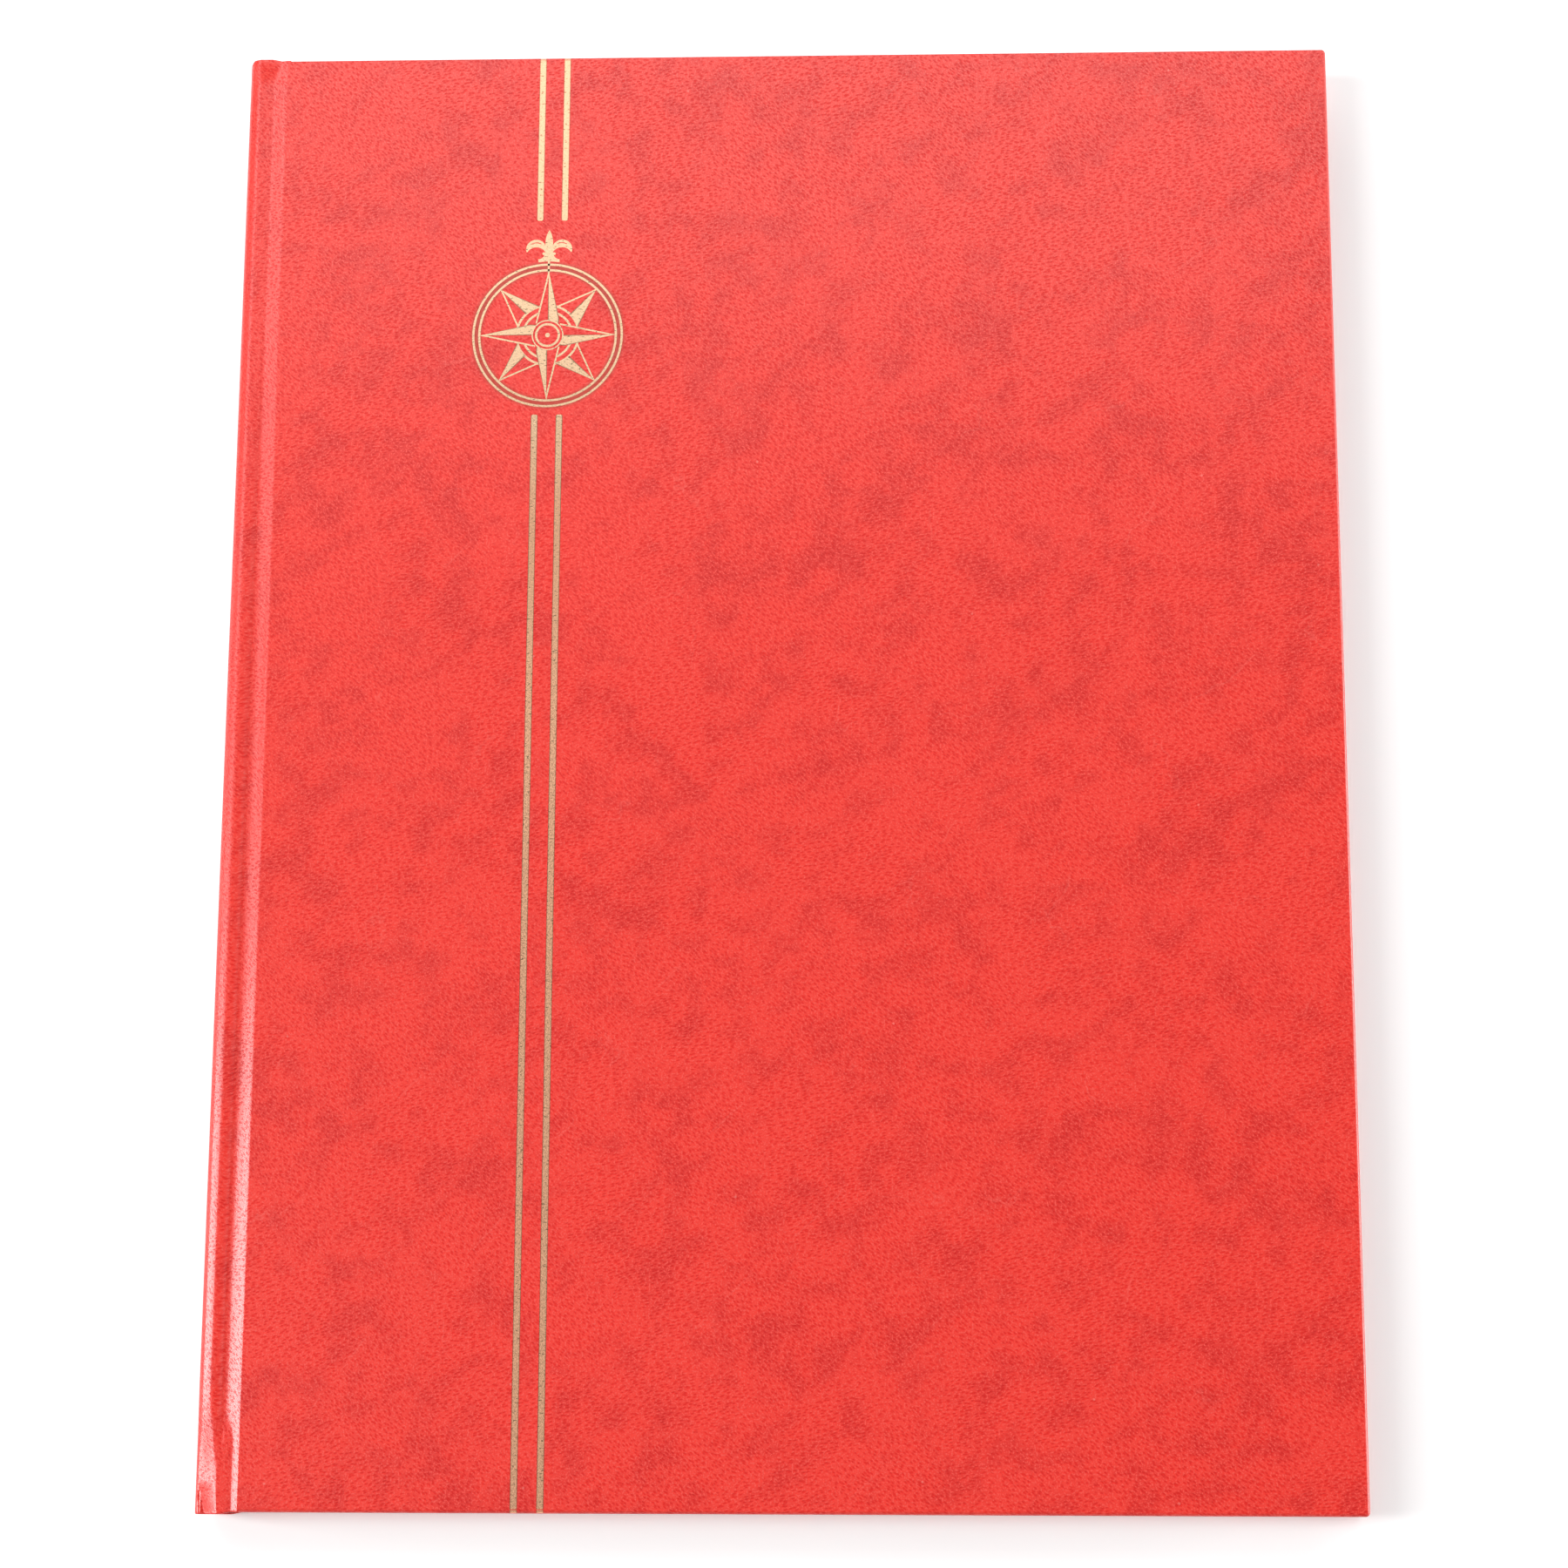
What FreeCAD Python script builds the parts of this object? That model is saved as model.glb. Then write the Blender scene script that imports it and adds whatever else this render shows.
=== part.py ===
import FreeCAD, Part
import math
import os
import Sketcher

# Hardcover stock album for stamps, closed and lying on its back cover.
# Spine along Y on the -X side, head at +Y, front cover up, sizes in millimetres.

doc = FreeCAD.newDocument("stamp_album")
sheet = doc.addObject("Spreadsheet::Sheet", "size")

# Driving sizes
sizes = {
    # case
    "cover_width": 230.0,            # spine face to fore edge
    "cover_height": 305.0,
    "board_thickness": 2.0,
    "skin_thickness": 0.3,           # leatherette over boards and spine
    "turn_in_width": 15.0,           # leatherette folded onto the inside
    "corner_radius": 1.5,            # cover corners, in plan
    "edge_bevel": 0.4,               # leatherette easing over the board edge
    "pastedown_thickness": 0.2,
    "pastedown_margin": 3.0,
    # joints between spine and boards
    "joint_width": 9.0,              # spine face to hinge edge of the board
    "shoulder_radius": 2.5,
    "groove_place": 6.0,             # spine face to the groove's bottom line
    "groove_depth": 1.25,
    "rise_radius": 1.0,              # where the groove rises to the board
    "joint_gap": 0.05,               # joint leatherette to spine leatherette
    # spine
    "spine_board_thickness": 1.4,
    "spine_overhang": 0.4,           # spine past the boards at head and tail
    "lining_thickness": 1.0,
    # leaves
    "leaf_count": 8,
    "page_square": 3.5,              # cover past the pages on its three open edges
    "card_thickness": 0.45,
    "leaf_clearance": 0.12,
    "block_clearance": 0.3,          # leaves to each pastedown
    # linen hinges of the leaves
    "linen_thickness": 0.14,
    "linen_layer": 0.1,              # linen glued on each face of the card
    "linen_free": 8.0,               # from the hinge line to the card
    "linen_wrap": 8.0,
    "root_clearance": 0.13,          # hinge root to spine lining
    # clear pocket strips
    "strip_height": 27.0,
    "strip_pitch": 32.4,
    "strip_foot": 5.0,               # page tail to the lowest strip
    "strip_margin": 5.0,             # strip ends to linen and fore edge
    "film_thickness": 0.08,
    "pocket_gap": 0.12,
    "bottom_weld": 1.5,
    "end_weld": 2.0,
    # glassine interleaves
    "interleaf_thickness": 0.05,
    "interleaf_gap": 0.03,           # over the strips
    "interleaf_seat": 4.0,           # glued on the linen
    "interleaf_margin": 1.5,
    # gold foil on the front cover
    "foil_thickness": 0.06,
    "foil_from_spine": 65.6,         # middle line of the ornament
    "rule_width": 1.35,
    "rule_spacing": 5.2,
    "rule_edge_gap": 0.6,
    "upper_rule_gap": 2.0,           # upper rules to the lily
    "lower_rule_gap": 1.5,           # lower rules to the compass rose
    # compass rose of the foil
    "rose_from_head": 62.5,
    "rose_radius": 16.0,
    "rose_ring_step": 1.4,           # outer ring to the ring inside it
    "rose_line": 0.5,                # width of the rings
    "point_line": 0.45,              # along the open half of a star point
    "middle_ring_radius": 6.75,
    "middle_ring_step": 1.55,
    "hub_radius": 3.3,
    "hub_ring_step": 0.75,
    "hub_dot_radius": 0.5,
    "main_point_width": 4.5,         # at the hub
    "side_point_width": 6.6,         # at the middle ring
    "fleur_width": 9.4,
    "fleur_height": 7.2,
    "fleur_lift": 0.3,               # over the outer ring
}

for row, (alias, number) in enumerate(sizes.items(), start=1):
    sheet.set("A%d" % row, str(number))
    sheet.setAlias("A%d" % row, alias)
doc.recompute()

# Derived sizes, as expressions of the sheet
spine_face = "(-size.cover_width / 2)"
half_height = "(size.cover_height / 2)"
board_line = "(%s + size.joint_width)" % spine_face
flap_width = "(size.cover_width - size.joint_width)"
board_inside = "(size.skin_thickness + size.board_thickness)"
turn_in_face = "(2 * size.skin_thickness + size.board_thickness)"
cover_stack = "(%s + size.pastedown_thickness)" % turn_in_face
strip_stack = "(size.film_thickness + size.pocket_gap)"
leaf_pitch = ("(size.card_thickness + 2 * %s + size.interleaf_gap + size.interleaf_thickness"
              " + size.leaf_clearance)" % strip_stack)
album_thickness = ("(2 * %s + size.leaf_count * %s + 2 * size.block_clearance)"
                   % (cover_stack, leaf_pitch))
spine_start = "(size.shoulder_radius + size.joint_gap)"
spine_width = "(%s - 2 * %s)" % (album_thickness, spine_start)
spine_half = "(%s + size.spine_overhang)" % half_height
spine_turn_in = "(2 * size.skin_thickness + size.spine_board_thickness)"
half_linen = "(size.linen_thickness / 2)"
hinge_line = ("(%s + %s + size.lining_thickness + size.root_clearance + %s)"
              % (spine_face, spine_turn_in, half_linen))
half_card = "(size.card_thickness / 2)"
page_height = "(size.cover_height - 2 * size.page_square)"
half_page = "(%s / 2)" % page_height
page_end = "(size.cover_width / 2 - size.page_square - %s)" % hinge_line
linen_end = "(size.linen_free + size.linen_wrap)"
linen_face = "(%s + size.linen_layer)" % half_card

half_turn_x = FreeCAD.Rotation(FreeCAD.Vector(1, 0, 0), 180)
half_turn_y = FreeCAD.Rotation(FreeCAD.Vector(0, 1, 0), 180)
eighth_turn_z = FreeCAD.Rotation(FreeCAD.Vector(0, 0, 1), 45)
diagonal = math.sqrt(0.5)
same_place = 1e-6                    # lengths closer than this count as equal


def value(expression):
    # number that an expression of sheet sizes stands for
    return float(sheet.evalExpression(str(expression)))


def vector(x, y):
    return FreeCAD.Vector(value(x), value(y), 0)


def new_body(label, x="0", y="0", z="0", rotation=FreeCAD.Rotation()):
    body = doc.addObject("PartDesign::Body", label)
    body.Label = label
    body.Placement = FreeCAD.Placement(FreeCAD.Vector(), rotation)
    for axis, expression in zip("xyz", (x, y, z)):
        body.setExpression("Placement.Base." + axis, expression)
    return body


def new_sketch(body, name, role, lift="0", rotation=FreeCAD.Rotation()):
    # sketch on one of the body's own planes, lifted along its normal
    plane = [item for item in body.Origin.OriginFeatures if item.Role == role][0]
    sketch = body.newObject("Sketcher::SketchObject", name)
    sketch.AttachmentSupport = [(plane, "")]
    sketch.MapMode = "FlatFace"
    sketch.AttachmentOffset = FreeCAD.Placement(FreeCAD.Vector(), rotation)
    sketch.setExpression("AttachmentOffset.Base.z", lift)
    return sketch


def fix_point(sketch, geometry, end, x, y):
    # ties one point of a sketch to two expressions
    for kind, expression in (("DistanceX", x), ("DistanceY", y)):
        rule = Sketcher.Constraint(kind, -1, 1, geometry, end, value(expression))
        sketch.setExpression("Constraints[%d]" % sketch.addConstraint(rule), expression)


def draw_outline(sketch, corners):
    # closed outline through (x, y) corners; (x, y, u, v) starts an arc that passes through (u, v)
    joints = []
    for corner, following in zip(corners, corners[1:] + corners[:1]):
        start = vector(*corner[:2])
        end = vector(*following[:2])
        if len(corner) == 2:
            geometry = sketch.addGeometry(Part.LineSegment(start, end), False)
            joints.append((geometry, 1, 2))
            continue
        through = vector(*corner[2:])
        if (through - start).cross(end - start).z > 0:
            geometry = sketch.addGeometry(Part.Arc(start, through, end), False)
            joints.append((geometry, 1, 2))
        else:
            geometry = sketch.addGeometry(Part.Arc(end, through, start), False)
            joints.append((geometry, 2, 1))
    for one, two in zip(joints, joints[1:] + joints[:1]):
        sketch.addConstraint(Sketcher.Constraint("Coincident", one[0], one[2], two[0], two[1]))
    for corner, (geometry, first, last) in zip(corners, joints):
        fix_point(sketch, geometry, first, *corner[:2])
        if len(corner) == 4:
            guide = sketch.addGeometry(Part.Point(vector(*corner[2:])), True)
            fix_point(sketch, guide, 1, *corner[2:])
            sketch.addConstraint(Sketcher.Constraint("PointOnObject", guide, 1, geometry))


def draw_circles(sketch, radii):
    # circles about the sketch's origin
    centre = FreeCAD.Vector()
    for radius in radii:
        circle = Part.Circle(centre, FreeCAD.Vector(0, 0, 1), value(radius))
        geometry = sketch.addGeometry(circle, False)
        sketch.addConstraint(Sketcher.Constraint("Coincident", geometry, 3, -1, 1))
        rule = Sketcher.Constraint("Radius", geometry, value(radius))
        sketch.setExpression("Constraints[%d]" % sketch.addConstraint(rule), radius)


def rectangle(x0, x1, y0, y1):
    return [(x0, y0), (x1, y0), (x1, y1), (x0, y1)]


def pad(body, sketch, length, midplane=False):
    feature = body.newObject("PartDesign::Pad", sketch.Name + "_pad")
    feature.Profile = sketch
    feature.Midplane = midplane
    feature.setExpression("Length", length)
    return feature


def pocket(body, sketch, depth, reverse):
    feature = body.newObject("PartDesign::Pocket", sketch.Name + "_pocket")
    feature.Profile = sketch
    feature.Reversed = reverse
    feature.setExpression("Length", depth)
    return feature


def pad_outline(body, name, corners, length, role="XY_Plane", lift="0", midplane=False):
    sketch = new_sketch(body, name, role, lift)
    draw_outline(sketch, corners)
    return pad(body, sketch, length, midplane)


def pocket_outline(body, name, corners, depth, lift="0", reverse=True):
    sketch = new_sketch(body, name, "XY_Plane", lift)
    draw_outline(sketch, corners)
    return pocket(body, sketch, depth, reverse)


def rounded_flap(inset):
    # outline of a cover in plan from its hinge edge, with rounded fore-edge corners
    end = "(%s - %s)" % (flap_width, inset)
    side = "(%s - %s)" % (half_height, inset)
    radius = "(size.corner_radius - %s)" % inset
    middle_x = "(%s - %s * (1 - %r))" % (end, radius, diagonal)
    middle_y = "(%s - %s * (1 - %r))" % (side, radius, diagonal)
    return [
        ("0", "-" + side),
        ("%s - %s" % (end, radius), "-" + side, middle_x, "-" + middle_y),
        (end, "-(%s - %s)" % (side, radius)),
        (end, "%s - %s" % (side, radius), middle_x, middle_y),
        ("%s - %s" % (end, radius), side),
        ("0", side),
    ]


def walked_back(corners):
    # the same corners and arcs, in the other direction
    points = [corner[:2] for corner in corners][::-1]
    guides = [corner[2:] for corner in corners][-2::-1] + [()]
    return [point + guide for point, guide in zip(points, guides)]


def mirrored(corner):
    # a corner, and its arc's point, on the other side of the Y axis
    return tuple("-(%s)" % text if place % 2 == 0 else text for place, text in enumerate(corner))


def ease_rim(body, base, name):
    # bevels the leatherette where it turns over the three outer edges of the board
    doc.recompute()
    corner = value("size.corner_radius")
    end_line = value(flap_width) - corner
    side_line = value(half_height) - corner
    inner_level = value(turn_in_face)
    local = base.Shape.copy()
    local.Placement = FreeCAD.Placement()
    names = []
    for number, edge in enumerate(local.Edges, start=1):
        middle = edge.CenterOfMass
        level = edge.BoundBox.ZLength < same_place
        on_face = min(abs(middle.z), abs(middle.z - inner_level)) < same_place
        on_rim = middle.x > end_line or abs(middle.y) > side_line
        if level and on_face and on_rim:
            names.append("Edge%d" % number)
    feature = body.newObject("PartDesign::Chamfer", name)
    feature.Base = (base, names)
    feature.setExpression("Size", "size.edge_bevel")
    return feature


def make_board(label, **place):
    body = new_body(label, **place)
    pad_outline(body, label + "_plan", rounded_flap("size.skin_thickness"),
                "size.board_thickness", lift="size.skin_thickness")
    return body


def make_cover_skin(label, **place):
    # outer sheet, edge walls and turn-ins of one cover
    body = new_body(label, **place)
    wall = rounded_flap("0") + walked_back(rounded_flap("size.skin_thickness"))
    inner_end = "(%s - size.turn_in_width)" % flap_width
    inner_side = "(%s - size.turn_in_width)" % half_height
    window = [("0", inner_side), (inner_end, inner_side),
              (inner_end, "-" + inner_side), ("0", "-" + inner_side)]
    pad_outline(body, label + "_sheet", rounded_flap("0"), "size.skin_thickness")
    pad_outline(body, label + "_wall", wall, "size.board_thickness", lift="size.skin_thickness")
    last = pad_outline(body, label + "_turn_in", rounded_flap("0") + window,
                       "size.skin_thickness", lift=board_inside)
    ease_rim(body, last, label + "_rim")
    return body


def make_pastedown(label, **place):
    # lining paper that lies on the turn-ins and is pressed down onto the board between them
    body = new_body(label, **place)

    def inset(margin):
        side = "(%s - %s)" % (half_height, margin)
        return rectangle("0", "(%s - %s)" % (flap_width, margin), "-" + side, side)

    pad_outline(body, label + "_sheet", inset("size.pastedown_margin"),
                "size.pastedown_thickness", lift=turn_in_face)
    pad_outline(body, label + "_centre", inset("size.turn_in_width"),
                "size.skin_thickness", lift=board_inside)
    pocket_outline(body, label + "_press",
                   inset("(size.turn_in_width + size.pastedown_thickness)"),
                   "size.skin_thickness", lift=cover_stack, reverse=False)
    return body


def make_joint_skin(label, **place):
    # Leatherette from the spine over its shoulder, through the groove and up to the board:
    # four arcs, each tangent to the next, with one wall thickness all along.
    # x runs from the spine face, z is the depth below the outer face.
    body = new_body(label, x=spine_face, **place)
    shoulder = "size.shoulder_radius"
    rise = "size.rise_radius"
    bottom = "size.groove_place"
    depth = "size.groove_depth"
    reach = "size.joint_width"

    def two_arcs(run, edge_radius):
        # sine and cosine of half the turn of an edge arc and of the groove arc that meets it, whose
        # run along x and whose fall to the groove's depth are known, and the groove arc's radius
        slant = "sqrt((%s) ^ 2 + %s ^ 2)" % (run, depth)
        sine = "(%s / %s)" % (depth, slant)
        cosine = "((%s) / %s)" % (run, slant)
        return sine, cosine, "(%s ^ 2 / (2 * %s) - %s)" % (slant, depth, edge_radius)

    down_sine, down_cosine, down_radius = two_arcs("%s - %s" % (bottom, shoulder), shoulder)
    up_sine, up_cosine, up_radius = two_arcs("%s - %s" % (reach, bottom), rise)
    full_sine = "(2 * %s * %s)"
    full_cosine = "(%s ^ 2 - %s ^ 2)"

    def face_line(inset):
        # the sheet's line at one depth inside its outer surface
        turn = "(%s - %s)" % (shoulder, inset)
        down = "(%s + %s)" % (down_radius, inset)
        up = "(%s + %s)" % (up_radius, inset)
        last = "(%s - %s)" % (rise, inset)
        crest = "%s - %s * %r" % (shoulder, turn, diagonal)
        return [
            (inset, shoulder, crest, crest),
            ("%s + %s * %s" % (shoulder, turn, full_sine % (down_sine, down_cosine)),
             "%s - %s * %s" % (shoulder, turn, full_cosine % (down_cosine, down_sine)),
             "%s - %s * %s" % (bottom, down, down_sine),
             "%s - %s + %s * %s" % (depth, down_radius, down, down_cosine)),
            (bottom, "%s + %s" % (depth, inset),
             "%s + %s * %s" % (bottom, up, up_sine),
             "%s - %s + %s * %s" % (depth, up_radius, up, up_cosine)),
            ("%s - %s * %s" % (reach, last, full_sine % (up_sine, up_cosine)),
             "%s - %s * %s" % (rise, last, full_cosine % (up_cosine, up_sine)),
             "%s - %s * %s" % (reach, last, up_sine),
             "%s - %s * %s" % (rise, last, up_cosine)),
            (reach, inset),
        ]

    section = face_line("0") + walked_back(face_line("size.skin_thickness"))
    pad_outline(body, label + "_section", section, "size.cover_height", "XZ_Plane", "0", True)
    return body


def make_spine_board():
    body = new_body("spine_board", x=spine_face, z=spine_start)
    end = "(%s - size.skin_thickness)" % spine_half
    board = rectangle("size.skin_thickness", "size.skin_thickness + size.spine_board_thickness",
                      "-" + end, end)
    pad_outline(body, "spine_board_plan", board, spine_width)
    return body


def make_spine_skin():
    # flat of the spine with its turn-ins at head and tail
    body = new_body("spine_skin", x=spine_face, z=spine_start)
    inside = "(%s - size.skin_thickness)" % spine_half
    lip = "(%s - size.turn_in_width)" % spine_half
    board_back = "(size.skin_thickness + size.spine_board_thickness)"
    outline = [
        ("0", "-" + spine_half), (spine_turn_in, "-" + spine_half),
        (spine_turn_in, "-" + lip), (board_back, "-" + lip),
        (board_back, "-" + inside), ("size.skin_thickness", "-" + inside),
        ("size.skin_thickness", inside), (board_back, inside),
        (board_back, lip), (spine_turn_in, lip),
        (spine_turn_in, spine_half), ("0", spine_half),
    ]
    pad_outline(body, "spine_skin_plan", outline, spine_width)
    return body


def make_spine_lining():
    # linen and glue on the back of the leaves, pressed down between the spine's turn-ins
    body = new_body("spine_lining", x=spine_face, z=spine_start)
    board_back = "(size.skin_thickness + size.spine_board_thickness)"
    face = "(%s + size.lining_thickness)" % spine_turn_in
    lip = "(%s - size.turn_in_width)" % spine_half
    outline = [
        (face, "-" + half_page), (face, half_page),
        (spine_turn_in, half_page), (spine_turn_in, lip),
        (board_back, lip), (board_back, "-" + lip),
        (spine_turn_in, "-" + lip), (spine_turn_in, "-" + half_page),
    ]
    pad_outline(body, "spine_lining_plan", outline, spine_width)
    return body


def leaf_height(number):
    # height of a leaf's middle plane, leaf 1 on top
    return "(%s - %s - size.block_clearance - (%d - 0.5) * %s)" % (
        album_thickness, cover_stack, number, leaf_pitch)


def make_leaf(number):
    # card leaf with its linen hinge, its pocket strips on both pages and its glassine interleaf
    place = {"x": hinge_line, "z": leaf_height(number)}
    card = new_body("leaf_%d" % number, **place)
    outline = rectangle("size.linen_free", page_end, "-" + half_card, half_card)
    pad_outline(card, "leaf_%d_section" % number, outline, page_height, "XZ_Plane", "0", True)

    linen = new_body("linen_hinge_%d" % number, **place)
    neck = "(size.linen_free - size.linen_layer)"
    fork = [
        ("0", half_linen, "-" + half_linen, "0"), ("0", "-" + half_linen),
        (neck, "-" + half_linen), (neck, "-" + linen_face),
        (linen_end, "-" + linen_face), (linen_end, "-" + half_card),
        ("size.linen_free", "-" + half_card), ("size.linen_free", half_card),
        (linen_end, half_card), (linen_end, linen_face),
        (neck, linen_face), (neck, half_linen),
    ]
    pad_outline(linen, "linen_hinge_%d_section" % number, fork, page_height, "XZ_Plane", "0", True)

    glassine = new_body("interleaf_%d" % number, **place)
    seat_start = "(%s - size.interleaf_seat)" % linen_end
    ramp_end = "(%s + size.strip_margin)" % linen_end
    over_strips = "(%s + %s + size.interleaf_gap)" % (half_card, strip_stack)
    sheet_end = "(%s - size.interleaf_margin)" % page_end
    thick = "(%s + size.interleaf_thickness)"
    bent = [
        (seat_start, linen_face), (linen_end, linen_face),
        (ramp_end, over_strips), (sheet_end, over_strips),
        (sheet_end, thick % over_strips), (ramp_end, thick % over_strips),
        (linen_end, thick % linen_face), (seat_start, thick % linen_face),
    ]
    sheet_height = "%s - 2 * size.interleaf_margin" % page_height
    pad_outline(glassine, "interleaf_%d_section" % number, bent, sheet_height, "XZ_Plane", "0", True)

    recto = make_strips("recto_strips_%d" % number, place["z"], FreeCAD.Rotation())
    verso = make_strips("verso_strips_%d" % number, place["z"], half_turn_y)
    return [card, linen, glassine, recto, verso]


def make_strips(label, height, rotation):
    # rows of clear pockets: film welded to the page along its foot and both ends, open at the top
    start = "(%s + size.strip_margin)" % linen_end
    end = "(%s - size.strip_margin)" % page_end
    middle = "(%s + (%s + %s) / 2)" % (hinge_line, start, end)
    half_length = "((%s - %s) / 2)" % (end, start)
    foot = "(size.strip_foot - %s)" % half_page
    top = "(%s + size.strip_height)" % foot
    body = new_body(label, x=middle, z=height, rotation=rotation)
    strip = pad_outline(body, label + "_film", rectangle("-" + half_length, half_length, foot, top),
                        strip_stack, lift=half_card)
    inside = "(%s - size.end_weld)" % half_length
    mouth = rectangle("-" + inside, inside, "%s + size.bottom_weld" % foot, top)
    gap = pocket_outline(body, label + "_mouth", mouth, "size.pocket_gap", lift=half_card)
    # as many rows as the page holds
    steps = "floor((%s - size.strip_foot - size.strip_height) / size.strip_pitch)" % page_height
    rows = body.newObject("PartDesign::LinearPattern", label + "_rows")
    rows.Originals = [strip, gap]
    rows.Direction = (strip.Profile[0], ["V_Axis"])
    rows.setExpression("Length", "size.strip_pitch * " + steps)
    rows.setExpression("Occurrences", steps + " + 1")
    body.Tip = rows
    return body


def make_rules():
    # two pairs of foil lines, above and below the compass rose
    centre = "(%s + size.foil_from_spine)" % spine_face
    body = new_body("gold_rules", x=centre, z="%s - size.foil_thickness" % album_thickness)
    edge = "(%s - size.rule_edge_gap)" % half_height
    rose_middle = "(%s - size.rose_from_head)" % half_height
    lily_top = "(%s + size.rose_radius + size.fleur_lift + size.fleur_height)" % rose_middle
    spans = {
        "upper": ("%s + size.upper_rule_gap" % lily_top, edge),
        "lower": ("-" + edge, "%s - size.rose_radius - size.lower_rule_gap" % rose_middle),
    }
    for name, (low, high) in spans.items():
        for side, sign in (("left", "-"), ("right", "")):
            middle = "(%ssize.rule_spacing / 2)" % sign
            bar = rectangle("%s - size.rule_width / 2" % middle,
                            "%s + size.rule_width / 2" % middle, low, high)
            pad_outline(body, "%s_%s_rule" % (name, side), bar, "size.foil_thickness")
    return body


def split_point(tip, base, half_width, floor):
    # outline of one star point and of the open half inside it, which leaves a line along the edge
    length = "(%s - %s)" % (tip, base)
    slope = "(%s / %s)" % (half_width, length)
    shift = "(size.point_line * sqrt(1 + %s ^ 2))" % slope
    whole = [("-" + half_width, base), (half_width, base), ("0", tip)]
    open_half = [
        ("0", floor),
        ("0", "%s - %s / %s" % (tip, shift, slope)),
        ("-(%s - %s) * %s + %s" % (tip, floor, slope, shift), floor),
    ]
    return whole, open_half


def make_rose():
    # traditional eight-point compass rose with a lily over its north point
    centre = "(%s + size.foil_from_spine)" % spine_face
    body = new_body("compass_rose", x=centre, y="%s - size.rose_from_head" % half_height,
                    z="%s - size.foil_thickness" % album_thickness)
    second_ring = "(size.rose_radius - size.rose_ring_step)"
    inner_ring = "(size.middle_ring_radius - size.middle_ring_step)"
    hub_ring = "(size.hub_radius - size.hub_ring_step)"
    thickness = "size.foil_thickness"

    def ring_pad(name, outer_radii, extra):
        sketch = new_sketch(body, name, "XY_Plane")
        radii = [item for radius in outer_radii for item in (radius, radius + " - size.rose_line")]
        draw_circles(sketch, radii + extra)
        return pad(body, sketch, thickness)

    def around(features, name):
        pattern = body.newObject("PartDesign::PolarPattern", name)
        pattern.Originals = features
        pattern.Axis = (features[0].Profile[0], ["N_Axis"])
        pattern.Angle = 360
        pattern.Occurrences = 4
        body.Tip = pattern

    ring_pad("rose_rings", ["size.rose_radius", second_ring, "size.middle_ring_radius", inner_ring], [])

    star_tip = "(%s - size.rose_line / 2)" % second_ring
    main_base = "(size.hub_radius - size.rose_line / 2)"
    main_half = "(size.main_point_width / 2)"
    main_floor = "(size.hub_radius - size.rose_line / 10)"
    whole, open_half = split_point(star_tip, main_base, main_half, main_floor)
    clear = pocket_outline(body, "main_point_clear", whole, thickness)
    around([clear], "main_points_clear")
    sketch = new_sketch(body, "main_point", "XY_Plane")
    draw_outline(sketch, whole)
    draw_outline(sketch, open_half)
    around([pad(body, sketch, thickness)], "main_points")

    side_half = "(size.side_point_width / 2)"
    ring_middle = "(size.middle_ring_radius - size.rose_line / 2)"
    side_base = "sqrt(%s ^ 2 - %s ^ 2)" % (ring_middle, side_half)
    side_floor = "(size.middle_ring_radius - size.rose_line / 10)"
    whole, open_half = split_point(star_tip, side_base, side_half, side_floor)
    whole[0] = whole[0] + ("0", ring_middle)
    sketch = new_sketch(body, "side_point", "XY_Plane", rotation=eighth_turn_z)
    draw_outline(sketch, whole)
    draw_outline(sketch, open_half)
    around([pad(body, sketch, thickness)], "side_points")

    ring_pad("hub_rings", ["size.hub_radius", hub_ring], ["size.hub_dot_radius"])

    # right side of the lily from its foot to its tip, in shares of its half width and height
    profile = [
        (0.045, 0.06, 0.25, 0.05), (0.42, 0.0), (0.45, 0.08, 0.26, 0.12), (0.2, 0.225),
        (0.25, 0.225, 0.29, 0.265), (0.25, 0.305), (0.17, 0.305, 0.56, 0.52),
        (0.93, 0.31, 0.72, 0.69), (0.19, 0.52, 0.19, 0.66), (0.0, 1.0),
    ]
    right = [("size.fleur_width / 2 * %r" % profile[0][0], star_tip + " - size.rose_line")]
    for point in profile:
        corner = ()
        for u, v in zip(point[0::2], point[1::2]):
            corner += ("size.fleur_width / 2 * %r" % u,
                       "size.rose_radius + size.fleur_lift + size.fleur_height * %r" % v)
        right.append(corner)
    left = walked_back([mirrored(corner) for corner in right])
    pad_outline(body, "lily", right[:-1] + left, thickness)
    return body


def stamp_foil(blank, foils, label):
    # presses the foil pieces into the cover's leatherette, flush with its face
    result = blank
    for foil in foils:
        cut = doc.addObject("Part::Cut", "%s_under_%s" % (label, foil.Label))
        cut.Base = result
        cut.Tool = foil
        result = cut
    result.Label = label
    return result


# Case
back_place = {"x": board_line}
front_place = {"x": board_line, "z": album_thickness, "rotation": half_turn_x}
rules = make_rules()
rose = make_rose()
front_blank = make_cover_skin("front_skin_blank", **front_place)
nodes = [
    make_board("front_board", **front_place),
    stamp_foil(front_blank, [rules, rose], "front_cover_skin"),
    make_pastedown("front_pastedown", **front_place),
    rules,
    rose,
    make_joint_skin("front_joint_skin", z=album_thickness, rotation=half_turn_x),
    make_spine_board(),
    make_spine_skin(),
    make_spine_lining(),
    make_board("back_board", **back_place),
    make_cover_skin("back_cover_skin", **back_place),
    make_pastedown("back_pastedown", **back_place),
    make_joint_skin("rear_joint_skin"),
]

# Leaves
for leaf_number in range(1, int(value("size.leaf_count")) + 1):
    nodes += make_leaf(leaf_number)

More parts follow.
